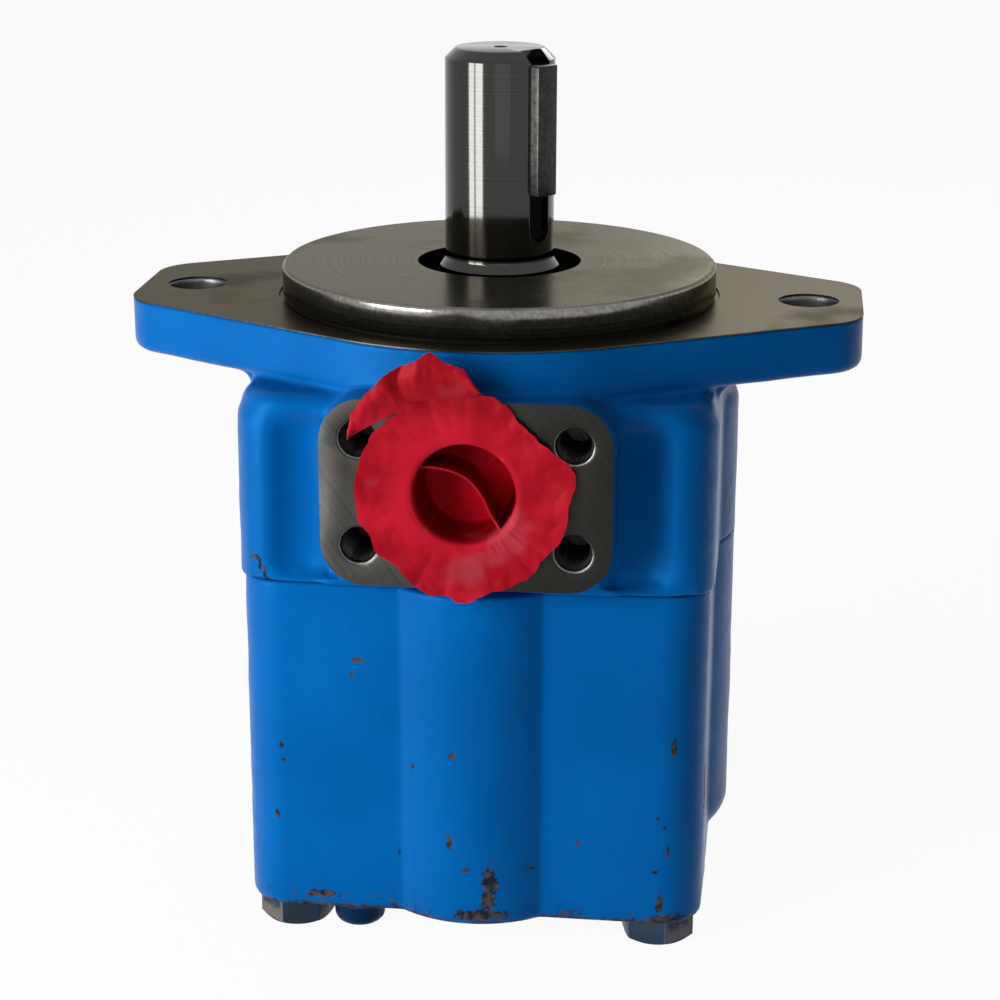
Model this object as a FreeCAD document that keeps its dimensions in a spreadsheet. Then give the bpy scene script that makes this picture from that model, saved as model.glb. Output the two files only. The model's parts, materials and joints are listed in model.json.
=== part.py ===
import FreeCAD, Part
import Sketcher
import math
import os

from FreeCAD import Placement, Rotation, Vector

# A hydraulic vane pump with a two-bolt mounting flange, standing on the screws of its rear cover.
# The origin is on the mounting face, on the shaft's axis. +Z runs up the shaft and -Y is the outlet side.

doc = FreeCAD.newDocument("vane_pump")

# Driving dimensions, in millimetres and degrees. Depths are measured down from the mounting face.
SIZES = {
    # Mounting flange and pilot, after the standard two-bolt size with a 127 mm pilot
    "pilot_dia": 127.0,
    "pilot_rise": 9.5,
    "pilot_chamfer": 1.0,
    "relief_width": 1.2,
    "relief_depth": 0.6,
    "flange_thickness": 15.5,
    "flange_round_radius": 73.0,
    "flange_reach": 106.0,
    "flange_slope": 30.0,
    "flange_corner_radius": 15.0,
    "flange_edge_radius": 3.0,
    "bolt_spacing": 181.0,
    "bolt_hole_dia": 17.5,
    # Front housing
    "seam_depth": 70.0,
    "block_half_width": 67.3,
    "block_corner_radius": 13.5,
    "block_top": 22.0,
    "shoulder_step": 1.0,
    "shoulder_round": 5.0,
    "skirt_radius": 6.0,
    "skirt_length": 80.0,
    "valley_radius": 14.0,
    "valley_sink": 5.0,
    "valley_offset": 6.5,
    "valley_foot": 2.0,
    "swell_radius": 33.0,
    "side_swell_crest": 71.3,
    "swell_round": 6.0,
    "swell_top": 24.0,
    # Outlet port, a 1-1/4 inch four-bolt port
    "outlet_depth": 39.0,
    "outlet_face": 78.4,
    "outlet_pad_width": 80.0,
    "outlet_pad_height": 53.0,
    "outlet_pad_corner": 12.5,
    "outlet_bore_dia": 31.75,
    "outlet_bolts_across": 58.72,
    "outlet_bolts_up": 30.18,
    "outlet_tap_dia": 10.0,
    "outlet_tap_depth": 22.0,
    "tap_chamfer": 0.8,
    # Hollows of the front housing
    "seal_bore_dia": 47.8,
    "seal_seat_depth": 13.0,
    "web_bore_dia": 43.0,
    "bearing_depth": 17.0,
    "gallery_inner_radius": 43.0,
    "gallery_outer_radius": 56.0,
    "gallery_top": 27.0,
    "plate_seat_depth": 53.5,
    # Rear cover
    "cover_length": 100.0,
    "cover_half_width": 66.2,
    "cover_corner_radius": 12.5,
    "cover_edge_radius": 2.0,
    "front_swell_crest": 73.0,
    "side_swell_end": 5.0,
    "side_swell_round": 10.0,
    "cavity_radius": 58.0,
    "cavity_length": 78.0,
    "foot_boss_dia": 15.0,
    "foot_boss_rise": 7.4,
    "foot_boss_gap": 0.6,
    "foot_boss_step": 3.4,
    "foot_boss_round": 3.0,
    # Inlet port, a 2 inch four-bolt port
    "inlet_depth": 122.0,
    "inlet_face": 82.0,
    "inlet_pad_width": 104.0,
    "inlet_pad_height": 76.0,
    "inlet_pad_corner": 14.0,
    "inlet_bore_dia": 50.8,
    "inlet_bolts_across": 77.77,
    "inlet_bolts_up": 42.88,
    "inlet_tap_dia": 10.8,
    "inlet_tap_depth": 20.0,
    # Cover screws
    "screw_offset": 53.25,
    "screw_dia": 12.7,
    "screw_head_across": 19.05,
    "screw_head_height": 8.0,
    "screw_head_turn": 15.0,
    "screw_grip": 24.0,
    "screw_tap_spare": 3.0,
    "screw_clearance": 0.4,
    # Drive shaft and key
    "shaft_dia": 31.75,
    "shaft_top": 71.5,
    "shaft_chamfer": 3.0,
    "centre_hole_dia": 3.0,
    "centre_hole_depth": 6.0,
    "journal_dia": 35.0,
    "journal_top": 9.0,
    "journal_cone": 2.0,
    "shoulder_dia": 40.0,
    "shoulder_width": 4.0,
    "neck_dia": 28.0,
    "tail_dia": 25.0,
    "tail_length": 28.0,
    "key_width": 7.94,
    "key_length": 37.2,
    "key_foot": 30.6,
    "key_outer_face": 18.6,
    "key_angle": 54.0,
    "key_chamfer": 0.5,
    "keyway_foot": 17.0,
    # Spline
    "spline_teeth": 14.0,
    "spline_major_dia": 32.0,
    "spline_minor_dia": 27.6,
    "spline_tooth": 3.2,
    "spline_tip_share": 0.6,
    # Ball bearing, 35 x 72 x 17
    "bearing_outer_dia": 72.0,
    "bearing_width": 17.0,
    "bearing_ring_wall": 5.9,
    "ball_dia": 11.1,
    "ball_count": 9.0,
    "cage_wall": 2.6,
    "cage_width": 13.0,
    # Retaining rings
    "circlip_thickness": 2.3,
    "circlip_bite": 1.8,
    "circlip_depth": 4.2,
    "circlip_gap": 24.0,
    "shaft_ring_thickness": 1.9,
    "shaft_ring_bite": 1.2,
    "shaft_ring_height": 3.0,
    # Shaft seal
    "seal_width": 10.0,
    "seal_case_wall": 1.2,
    "seal_lip_wall": 1.4,
    "seal_lip_length": 6.0,
    "seal_spring_dia": 1.6,
    # Pump cartridge
    "plate_radius": 56.0,
    "outlet_plate_width": 14.5,
    "plate_hub_length": 11.0,
    "cam_outer_radius": 55.0,
    "cam_width": 38.0,
    "cam_minor_radius": 38.5,
    "cam_major_radius": 43.0,
    "rotor_radius": 38.0,
    "vane_count": 10.0,
    "vane_thickness": 3.2,
    "vane_height": 13.0,
    "vane_tip_chamfer": 0.8,
    "vane_rest_gap": 0.3,
    "slot_spare": 1.5,
    "slot_well_share": 1.3,
    "insert_length": 12.0,
    "insert_height": 5.0,
    "inlet_plate_width": 14.0,
    "inlet_hub_radius": 23.0,
    "kidney_inner_radius": 34.0,
    "kidney_outer_radius": 42.0,
    "kidney_angle": 50.0,
    "inlet_kidney_turn": 45.0,
    "outlet_passage_inset": 2.5,
    "inlet_passage_step": 6.0,
    "dowel_dia": 6.0,
    "cartridge_screw_dia": 6.0,
    "cartridge_head_dia": 10.0,
    "cartridge_head_height": 6.0,
    "dowel_sink": 7.0,
    "drill_spare": 1.0,
    # Rubber rings
    "cover_ring_radius": 60.8,
    "cover_ring_dia": 2.6,
    "plate_ring_dia": 3.2,
    "backup_ring_width": 1.6,
    # Tail bush
    "bush_wall": 3.0,
    "bush_length": 20.0,
    "bush_inset": 4.0,
    "tail_clearance": 0.7,
    "tail_end_gap": 2.0,
    # Protective film over the outlet
    "film_thickness": 0.8,
    "film_reach": 29.0,
    "film_cup_depth": 15.0,
    # Fits
    "running_fit": 0.05,
    "loose_fit": 0.1,
    "slide_fit": 0.03,
}

sheet = doc.addObject("Spreadsheet::Sheet", "Sizes")
for row, (alias, amount) in enumerate(SIZES.items(), start=1):
    sheet.set(f"A{row}", alias)
    sheet.set(f"B{row}", str(amount))
    sheet.setAlias(f"B{row}", alias)
doc.recompute()


class Formula:
    """A number together with the sheet expression that gives it."""

    def __init__(self, amount, text):
        self.amount = amount
        self.text = text

    def __add__(self, other):
        other = formula(other)
        return Formula(self.amount + other.amount, f"({self.text} + {other.text})")

    def __sub__(self, other):
        other = formula(other)
        return Formula(self.amount - other.amount, f"({self.text} - {other.text})")

    def __mul__(self, other):
        other = formula(other)
        return Formula(self.amount * other.amount, f"({self.text} * {other.text})")

    def __truediv__(self, other):
        other = formula(other)
        return Formula(self.amount / other.amount, f"({self.text} / {other.text})")

    def __radd__(self, other):
        return formula(other) + self

    def __rsub__(self, other):
        return formula(other) - self

    def __rmul__(self, other):
        return formula(other) * self

    def __rtruediv__(self, other):
        return formula(other) / self

    def __neg__(self):
        return formula(0) - self

    def __float__(self):
        return float(self.amount)


def formula(item):
    if isinstance(item, Formula):
        return item
    return Formula(float(item), f"({float(item):.9f})")


class Sheet:
    """Gives each cell of the sheet as a formula: S.pilot_dia and so on."""

    def __getattr__(self, alias):
        return Formula(float(sheet.get(alias)), f"Sizes.{alias}")


S = Sheet()


def sine(angle):
    return Formula(math.sin(math.radians(float(angle))), f"sin({angle.text} * 1 deg)")


def cosine(angle):
    return Formula(math.cos(math.radians(float(angle))), f"cos({angle.text} * 1 deg)")


def tangent(angle):
    return Formula(math.tan(math.radians(float(angle))), f"tan({angle.text} * 1 deg)")


def bind(item, path, amount):
    item.setExpression(path, formula(amount).text)


def settle(feature):
    """Recomputes the model and makes sure that the feature has a sound shape."""
    doc.recompute()
    if "Invalid" in feature.State or "Error" in feature.State or feature.Shape.isNull():
        raise RuntimeError(f"{feature.Name} failed: {feature.getStatusString()}")
    return feature


def new_body(label):
    body = doc.addObject("PartDesign::Body", label)
    body.Label = label
    return body


def origin_plane(body, role):
    return next(item for item in body.Origin.OriginFeatures if item.Role == role)


def new_sketch(body, name, role, lift=0, turn=0):
    """A sketch on one of the body's own planes, lifted along its normal and turned about its upright."""
    sketch = body.newObject("Sketcher::SketchObject", name)
    sketch.AttachmentSupport = (origin_plane(body, role), [""])
    sketch.MapMode = "FlatFace"
    lift = formula(lift)
    turn = formula(turn)
    sketch.AttachmentOffset = Placement(Vector(), Rotation(Vector(0, 1, 0), turn.amount))
    if turn.amount:
        bind(sketch, "AttachmentOffset.Rotation.Angle", turn)
        bind(sketch, "AttachmentOffset.Base.x", lift * sine(turn))
        bind(sketch, "AttachmentOffset.Base.z", lift * cosine(turn))
    else:
        bind(sketch, "AttachmentOffset.Base.z", lift)
    return sketch


def pin_point(sketch, edge, end, across, up):
    """Holds a sketch point at its two distances from the sketch's origin."""
    for kind, axis, amount in (("DistanceX", -2, formula(across)), ("DistanceY", -1, formula(up))):
        if abs(amount.amount) < 1e-9 and amount.text == formula(0).text:
            sketch.addConstraint(Sketcher.Constraint("PointOnObject", edge, end, axis))
            continue
        index = sketch.addConstraint(Sketcher.Constraint(kind, -1, 1, edge, end, amount.amount))
        sketch.setExpression(f"Constraints[{index}]", amount.text)


def polygon(body, name, role, corners, lift=0, turn=0):
    """A closed outline of straight sides, each corner held by its own two formulas."""
    sketch = new_sketch(body, name, role, lift, turn)
    places = [Vector(float(formula(x)), float(formula(y)), 0) for x, y in corners]
    count = len(corners)
    for i in range(count):
        sketch.addGeometry(Part.LineSegment(places[i], places[(i + 1) % count]), False)
    for i in range(count):
        sketch.addConstraint(Sketcher.Constraint("Coincident", i, 2, (i + 1) % count, 1))
    for i, (across, up) in enumerate(corners):
        pin_point(sketch, i, 1, across, up)
    return sketch


def circles(body, name, role, radius, centres, lift=0, turn=0):
    """Equal circles at the given centres."""
    sketch = new_sketch(body, name, role, lift, turn)
    radius = formula(radius)
    for i, (across, up) in enumerate(centres):
        centre = Vector(float(formula(across)), float(formula(up)), 0)
        sketch.addGeometry(Part.Circle(centre, Vector(0, 0, 1), radius.amount), False)
        index = sketch.addConstraint(Sketcher.Constraint("Radius", i, radius.amount))
        sketch.setExpression(f"Constraints[{index}]", radius.text)
        pin_point(sketch, i, 3, across, up)
    return sketch


def rounded_rectangle(body, name, role, half_width, low, high, radius, lift=0):
    """A rectangle about the upright axis, with four round corners joined by tangent sides."""
    sketch = new_sketch(body, name, role, lift)
    radius = formula(radius)
    right = half_width - radius
    centres = [(right, low + radius), (right, high - radius), (-right, high - radius), (-right, low + radius)]
    ends = []
    for i, (across, up) in enumerate(centres):
        circle = Part.Circle(Vector(float(across), float(up), 0), Vector(0, 0, 1), radius.amount)
        corner = Part.ArcOfCircle(circle, math.pi / 2 * (i - 1), math.pi / 2 * i)
        sketch.addGeometry(corner, False)
        ends.append((corner.StartPoint, corner.EndPoint))
    for i in range(4):
        sketch.addGeometry(Part.LineSegment(ends[i][1], ends[(i + 1) % 4][0]), False)
    for i, (across, up) in enumerate(centres):
        sketch.addConstraint(Sketcher.Constraint("Tangent", i, 2, 4 + i, 1))
        sketch.addConstraint(Sketcher.Constraint("Tangent", 4 + i, 2, (i + 1) % 4, 1))
        index = sketch.addConstraint(Sketcher.Constraint("Radius", i, radius.amount))
        sketch.setExpression(f"Constraints[{index}]", radius.text)
        pin_point(sketch, i, 3, across, up)
    return sketch


def rectangle(half_width, low, high):
    return [(-half_width, low), (half_width, low), (half_width, high), (-half_width, high)]


def add(body, sketch, length, back=False):
    """Raises a sketch into a solid that joins the body."""
    pad = body.newObject("PartDesign::Pad", f"{sketch.Name}_pad")
    pad.Profile = sketch
    bind(pad, "Length", length)
    pad.Reversed = back
    return settle(pad)


def cut(body, sketch, length, back=False):
    """Sinks a sketch into the body, and makes sure that it took something away."""
    before = body.Shape.Volume
    pocket = body.newObject("PartDesign::Pocket", f"{sketch.Name}_pocket")
    pocket.Profile = sketch
    bind(pocket, "Length", length)
    pocket.Reversed = back
    settle(pocket)
    if not body.Shape.Volume < before - 1e-6:
        raise RuntimeError(f"{pocket.Name} of {body.Label} cuts nothing")
    return pocket


def spin(body, name, corners, angle=360, turn=0):
    """Turns an outline of radii and heights about Z. A part turn lies evenly about the sketch."""
    sketch = polygon(body, f"{name}_profile", "XZ_Plane", corners, turn=turn)
    solid = body.newObject("PartDesign::Revolution", name)
    solid.Profile = sketch
    solid.ReferenceAxis = (sketch, ["V_Axis"])
    bind(solid, "Angle", angle)
    solid.Midplane = float(formula(angle)) < 360
    return settle(solid)


def spin_away(body, name, corners, angle=360, turn=0):
    """Cuts a turned outline of radii and heights out of the body."""
    before = body.Shape.Volume
    sketch = polygon(body, f"{name}_profile", "XZ_Plane", corners, turn=turn)
    groove = body.newObject("PartDesign::Groove", name)
    groove.Profile = sketch
    groove.ReferenceAxis = (sketch, ["V_Axis"])
    bind(groove, "Angle", angle)
    groove.Midplane = float(formula(angle)) < 360
    settle(groove)
    if not body.Shape.Volume < before - 1e-6:
        raise RuntimeError(f"{name} of {body.Label} cuts nothing")
    return groove


def ring(inner, outer, low, high):
    return [(inner, low), (outer, low), (outer, high), (inner, high)]


def repeat(body, features, count):
    """Repeats features evenly about Z."""
    pattern = body.newObject("PartDesign::PolarPattern", f"{features[0].Name}_ring")
    pattern.Originals = features
    pattern.Axis = (origin_plane(body, "Z_Axis"), [""])
    pattern.Angle = 360
    bind(pattern, "Occurrences", count)
    body.Tip = pattern
    return settle(pattern)


def round_edges(body, name, radius, wanted):
    """Rounds the edges of the body's last shape that the test wants."""
    tip = body.Tip
    edges = [f"Edge{i}" for i, edge in enumerate(tip.Shape.Edges, start=1) if wanted(edge)]
    if not edges:
        raise RuntimeError(f"{name} of {body.Label} finds no edge")
    fillet = body.newObject("PartDesign::Fillet", name)
    fillet.Base = (tip, edges)
    bind(fillet, "Radius", radius)
    return settle(fillet)


def chamfer_edges(body, name, size, wanted):
    tip = body.Tip
    edges = [f"Edge{i}" for i, edge in enumerate(tip.Shape.Edges, start=1) if wanted(edge)]
    if not edges:
        raise RuntimeError(f"{name} of {body.Label} finds no edge")
    chamfer = body.newObject("PartDesign::Chamfer", name)
    chamfer.Base = (tip, edges)
    bind(chamfer, "Size", size)
    return settle(chamfer)


def upright(edge):
    """True for a straight edge along Z."""
    if len(edge.Vertexes) != 2:
        return False
    a, b = (vertex.Point for vertex in edge.Vertexes)
    return abs(a.x - b.x) < 1e-6 and abs(a.y - b.y) < 1e-6


def flat_at(edge, height):
    """True for an edge that lies wholly at a height."""
    box = edge.BoundBox
    return abs(box.ZMin - float(height)) < 1e-5 and abs(box.ZMax - float(height)) < 1e-5


def at_face(edge, level):
    """True for an edge that lies wholly at a distance along Y."""
    box = edge.BoundBox
    return abs(box.YMin - float(level)) < 1e-5 and abs(box.YMax - float(level)) < 1e-5


def four_corners(across, up, middle=0):
    """Centres of a four-bolt pattern about the middle height."""
    return [(x * across / 2, middle + z * up / 2) for x in (-1, 1) for z in (-1, 1)]


# Levels that several pieces share
seam = -S.seam_depth
cover_end = seam - S.cover_length
bearing_top = -S.bearing_depth
bearing_end = bearing_top - S.bearing_width
bearing_middle = bearing_top - S.bearing_width / 2
outlet_plate_top = -S.plate_seat_depth
cam_top = outlet_plate_top - S.outlet_plate_width
cam_end = cam_top - S.cam_width
inlet_plate_end = cam_end - S.inlet_plate_width
cavity_floor = seam - S.cavity_length
pitch_radius = (S.bearing_outer_dia + S.journal_dia) / 4
cartridge_pitch = (S.cam_outer_radius + S.cam_major_radius) / 2
bush_radius = S.tail_dia / 2 + S.running_fit + S.bush_wall


def add_flange(body):
    """The mounting flange: a disc with two straight-sided ears that leave it at a tangent."""
    radius = S.flange_round_radius
    touch_x = radius * sine(S.flange_slope)
    touch_y = radius * cosine(S.flange_slope)
    ear_y = touch_y - (S.flange_reach - touch_x) * tangent(S.flange_slope)
    corners = [
        (S.flange_reach, -ear_y),
        (S.flange_reach, ear_y),
        (touch_x, touch_y),
        (-touch_x, touch_y),
        (-S.flange_reach, ear_y),
        (-S.flange_reach, -ear_y),
        (-touch_x, -touch_y),
        (touch_x, -touch_y),
    ]
    add(body, polygon(body, "ears", "XY_Plane", corners), S.flange_thickness, back=True)
    reach = float(S.flange_reach)
    round_edges(
        body,
        "ear_corners",
        S.flange_corner_radius,
        lambda edge: upright(edge) and abs(abs(edge.Vertexes[0].X) - reach) < 1e-6,
    )
    add(body, circles(body, "disc", "XY_Plane", radius, [(0, 0)]), S.flange_thickness, back=True)


def rounded_square(body, name, half_width, corner_radius, top, length):
    """A square prism that hangs from its top level, with round upright corners."""
    sketch = rounded_rectangle(
        body, name, "XY_Plane", half_width, -half_width, half_width, corner_radius, lift=top
    )
    return add(body, sketch, length, back=True)


def make_housing_casting():
    """The rough casting under the flange: a square block with a swelling on each plain side."""
    body = new_body("housing_casting")
    centre = S.side_swell_crest - S.swell_radius
    swells = circles(
        body,
        "housing_swells",
        "XY_Plane",
        S.swell_radius,
        [(centre, 0), (-centre, 0)],
        lift=-S.swell_top,
    )
    add(body, swells, S.seam_depth - S.swell_top, back=True)
    round_edges(body, "swell_tops", S.swell_round, lambda edge: flat_at(edge, -S.swell_top))
    shoulder = S.block_half_width - S.shoulder_step
    top = -S.flange_thickness
    rounded_square(
        body, "shoulder", shoulder, S.block_corner_radius, top, S.seam_depth - S.flange_thickness
    )
    round_edges(body, "shoulder_edges", S.shoulder_round, lambda edge: flat_at(edge, top))
    outer = shoulder + S.skirt_radius
    foot = top - S.skirt_radius
    skirt = polygon(
        body,
        "skirt",
        "XZ_Plane",
        [(-outer, foot), (outer, foot), (outer, top), (-outer, top)],
        lift=-S.skirt_length / 2,
    )
    add(body, skirt, S.skirt_length)
    hollows = circles(
        body,
        "skirt_hollow",
        "XZ_Plane",
        S.skirt_radius,
        [(-outer, foot), (outer, foot)],
        lift=S.skirt_length / 2,
    )
    cut(body, hollows, S.skirt_length)
    rounded_square(
        body,
        "block",
        S.block_half_width,
        S.block_corner_radius,
        -S.block_top,
        S.seam_depth - S.block_top,
    )
    valley_x = S.outlet_pad_width / 2 + S.valley_offset
    valley_y = -(S.block_half_width + S.valley_radius - S.valley_sink)
    valleys = circles(
        body,
        "valleys",
        "XY_Plane",
        S.valley_radius,
        [(-valley_x, valley_y), (valley_x, valley_y)],
        lift=-S.block_top,
    )
    cut(body, valleys, S.seam_depth - S.block_top - S.valley_foot)
    return body


def make_front_housing():
    body = new_body("front_housing")
    add_flange(body)
    bottom = -S.flange_thickness
    round_edges(body, "flange_edge", S.flange_edge_radius, lambda edge: flat_at(edge, bottom))
    casting = body.newObject("PartDesign::Boolean", "casting_joined")
    casting.setObjects([make_housing_casting()])
    settle(casting)
    pad = rounded_rectangle(
        body,
        "outlet_pad",
        "XZ_Plane",
        S.outlet_pad_width / 2,
        -S.outlet_depth - S.outlet_pad_height / 2,
        -S.outlet_depth + S.outlet_pad_height / 2,
        S.outlet_pad_corner,
        lift=S.gallery_outer_radius,
    )
    add(body, pad, S.outlet_face - S.gallery_outer_radius)
    add(body, circles(body, "pilot", "XY_Plane", S.pilot_dia / 2, [(0, 0)]), S.pilot_rise)
    chamfer_edges(body, "pilot_edge", S.pilot_chamfer, lambda edge: flat_at(edge, S.pilot_rise))
    pilot = S.pilot_dia / 2
    spin_away(
        body,
        "relief",
        ring(pilot - S.relief_depth, pilot + S.relief_width, -S.relief_depth, S.relief_width),
    )
    seal = S.seal_bore_dia / 2
    web = S.web_bore_dia / 2
    bearing = S.bearing_outer_dia / 2 + S.running_fit
    clip = bearing + S.circlip_bite
    clip_top = bearing_end - S.slide_fit
    clip_end = clip_top - S.circlip_thickness - 2 * S.slide_fit
    through = [
        (0, S.pilot_rise + 1),
        (seal, S.pilot_rise + 1),
        (seal, -S.seal_seat_depth),
        (web, -S.seal_seat_depth),
        (web, bearing_top),
        (bearing, bearing_top),
        (bearing, clip_top),
        (clip, clip_top),
        (clip, clip_end),
        (bearing, clip_end),
        (bearing, outlet_plate_top - 1),
        (0, outlet_plate_top - 1),
    ]
    spin_away(body, "shaft_hollow", through)
    seat = S.plate_radius + S.running_fit
    spin_away(
        body, "plate_seat", [(0, outlet_plate_top), (seat, outlet_plate_top), (seat, seam - 1), (0, seam - 1)]
    )
    spin_away(
        body,
        "gallery",
        ring(S.gallery_inner_radius, S.gallery_outer_radius, outlet_plate_top - 1, -S.gallery_top),
    )
    bore = circles(
        body, "outlet_bore", "XZ_Plane", S.outlet_bore_dia / 2, [(0, -S.outlet_depth)], lift=S.outlet_face
    )
    cut(body, bore, S.outlet_face - S.gallery_inner_radius - 2)
    taps = circles(
        body,
        "outlet_taps",
        "XZ_Plane",
        S.outlet_tap_dia / 2,
        four_corners(S.outlet_bolts_across, S.outlet_bolts_up, -S.outlet_depth),
        lift=S.outlet_face,
    )
    cut(body, taps, S.outlet_tap_depth)
    tap_radius = float(S.outlet_tap_dia) / 2
    chamfer_edges(
        body,
        "outlet_tap_mouths",
        S.tap_chamfer,
        lambda edge: at_face(edge, -S.outlet_face) and abs(edge.BoundBox.XLength / 2 - tap_radius) < 1e-3,
    )
    spacing = S.bolt_spacing / 2
    holes = circles(body, "bolt_holes", "XY_Plane", S.bolt_hole_dia / 2, [(-spacing, 0), (spacing, 0)])
    cut(body, holes, S.flange_thickness + 1)
    screw = S.screw_dia / 2 + S.running_fit
    tapped = circles(body, "screw_taps", "XY_Plane", screw, [(S.screw_offset, S.screw_offset)], lift=seam)
    tapped_cut = cut(body, tapped, S.screw_grip + S.screw_tap_spare, back=True)
    repeat(body, [tapped_cut], 4)
    return body


def make_rear_cover():
    body = new_body("rear_cover")
    side = S.side_swell_crest - S.swell_radius
    spots = [(side, 0), (-side, 0)]
    side_length = S.cover_length - S.side_swell_end
    swells = circles(body, "side_swells", "XY_Plane", S.swell_radius, spots, lift=seam)
    add(body, swells, side_length, back=True)
    low = seam - side_length
    round_edges(body, "side_swell_ends", S.side_swell_round, lambda edge: flat_at(edge, low))
    rounded_square(
        body, "shell", S.cover_half_width, S.cover_corner_radius, seam, S.cover_length
    )
    front = [(0, -(S.front_swell_crest - S.swell_radius))]
    swell = circles(body, "front_swell", "XY_Plane", S.swell_radius, front, lift=seam)
    add(body, swell, S.cover_length, back=True)
    end = float(cover_end)
    round_edges(body, "cover_edge", S.cover_edge_radius, lambda edge: flat_at(edge, end))
    head_corner = S.screw_head_across / math.sqrt(3)
    boss_x = S.foot_boss_dia / 2 + head_corner + S.foot_boss_gap - S.screw_offset
    spots = [(boss_x, -S.screw_offset - S.foot_boss_step)]
    boss = circles(body, "foot_boss", "XY_Plane", S.foot_boss_dia / 2, spots, lift=cover_end)
    add(body, boss, S.foot_boss_rise, back=True)
    foot = float(cover_end - S.foot_boss_rise)
    round_edges(body, "foot_boss_edge", S.foot_boss_round, lambda edge: flat_at(edge, foot))
    pad = rounded_rectangle(
        body,
        "inlet_pad",
        "XZ_Plane",
        S.inlet_pad_width / 2,
        -S.inlet_depth - S.inlet_pad_height / 2,
        -S.inlet_depth + S.inlet_pad_height / 2,
        S.inlet_pad_corner,
        lift=-S.cavity_radius,
    )
    add(body, pad, S.inlet_face - S.cavity_radius, back=True)
    cavity = [
        (0, seam + 1),
        (S.cavity_radius, seam + 1),
        (S.cavity_radius, cavity_floor),
        (0, cavity_floor),
    ]
    spin_away(body, "cavity", cavity)
    groove = ring(
        S.cover_ring_radius - S.cover_ring_dia / 2 - S.loose_fit,
        S.cover_ring_radius + S.cover_ring_dia / 2 + S.loose_fit,
        seam - S.cover_ring_dia - S.loose_fit,
        seam + 1,
    )
    spin_away(body, "ring_groove", groove)
    bore = circles(
        body, "inlet_bore", "XZ_Plane", S.inlet_bore_dia / 2, [(0, -S.inlet_depth)], lift=-S.inlet_face
    )
    cut(body, bore, S.inlet_face - S.cavity_radius / 2, back=True)
    taps = circles(
        body,
        "inlet_taps",
        "XZ_Plane",
        S.inlet_tap_dia / 2,
        four_corners(S.inlet_bolts_across, S.inlet_bolts_up, -S.inlet_depth),
        lift=-S.inlet_face,
    )
    cut(body, taps, S.inlet_tap_depth, back=True)
    hole = S.screw_dia / 2 + S.screw_clearance
    holes = circles(body, "screw_holes", "XY_Plane", hole, [(S.screw_offset, S.screw_offset)], lift=seam)
    holes_cut = cut(body, holes, S.cover_length + 1)
    repeat(body, [holes_cut], 4)
    return body


def make_cover_screws():
    """Four hexagon screws: the first is made in place and repeated about the shaft."""
    body = new_body("cover_screws")
    spot = (S.screw_offset, S.screw_offset)
    shank = circles(body, "shank", "XY_Plane", S.screw_dia / 2, [spot], lift=cover_end)
    shank_pad = add(body, shank, S.cover_length + S.screw_grip)
    corner = S.screw_head_across / math.sqrt(3)
    turns = [S.screw_head_turn + 60 * side for side in range(6)]
    hexagon = [(spot[0] + corner * cosine(turn), spot[1] + corner * sine(turn)) for turn in turns]
    head = polygon(body, "head", "XY_Plane", hexagon, lift=cover_end)
    head_pad = add(body, head, S.screw_head_height, back=True)
    repeat(body, [shank_pad, head_pad], 4)
    return body


def make_drive_shaft():
    body = new_body("drive_shaft")
    radius = S.shaft_dia / 2
    journal = S.journal_dia / 2
    clip = journal - S.shaft_ring_bite
    clip_low = bearing_top + S.slide_fit
    clip_high = clip_low + S.shaft_ring_thickness + 2 * S.slide_fit
    neck_end = cam_top - S.running_fit
    spline_end = cam_end + S.running_fit
    profile = [
        (0, spline_end - S.tail_length),
        (S.tail_dia / 2, spline_end - S.tail_length),
        (S.tail_dia / 2, spline_end),
        (S.spline_minor_dia / 2, spline_end),
        (S.spline_minor_dia / 2, neck_end),
        (S.neck_dia / 2, neck_end),
        (S.neck_dia / 2, bearing_end - S.shoulder_width),
        (S.shoulder_dia / 2, bearing_end - S.shoulder_width),
        (S.shoulder_dia / 2, bearing_end),
        (journal, bearing_end),
        (journal, clip_low),
        (clip, clip_low),
        (clip, clip_high),
        (journal, clip_high),
        (journal, S.journal_top),
        (radius, S.journal_top + S.journal_cone),
        (radius, S.shaft_top - S.shaft_chamfer),
        (radius - S.shaft_chamfer, S.shaft_top),
        (S.centre_hole_dia / 2, S.shaft_top),
        (S.centre_hole_dia / 2, S.shaft_top - S.centre_hole_depth),
        (0, S.shaft_top - S.centre_hole_depth - S.centre_hole_dia / 2),
    ]
    spin(body, "turning", profile)
    tooth = S.spline_tooth / 2
    inside = S.spline_minor_dia / 2 - 1
    outside = S.spline_major_dia / 2
    tip = tooth * S.spline_tip_share
    teeth = polygon(
        body,
        "tooth",
        "XY_Plane",
        [(inside, -tooth), (outside, -tip), (outside, tip), (inside, tooth)],
        lift=neck_end,
    )
    repeat(body, [add(body, teeth, neck_end - spline_end, back=True)], S.spline_teeth)
    floor = S.key_outer_face - S.key_width
    half = S.key_width / 2 + S.slide_fit
    foot = S.keyway_foot + half
    sides = rectangle(half, foot, S.shaft_top + 1)
    way = polygon(body, "keyway", "XZ_Plane", sides, lift=floor, turn=S.key_angle)
    cut(body, way, S.shaft_dia / 2, back=True)
    end = circles(body, "keyway_end", "XZ_Plane", half, [(0, foot)], lift=floor, turn=S.key_angle)
    cut(body, end, S.shaft_dia / 2, back=True)
    return body


def make_shaft_key():
    body = new_body("shaft_key")
    sides = rectangle(S.key_width / 2, S.key_foot, S.key_foot + S.key_length)
    floor = S.key_outer_face - S.key_width
    add(body, polygon(body, "blank", "XZ_Plane", sides, lift=floor, turn=S.key_angle), S.key_width)
    chamfer_edges(body, "edges", S.key_chamfer, lambda edge: True)
    return body


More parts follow.
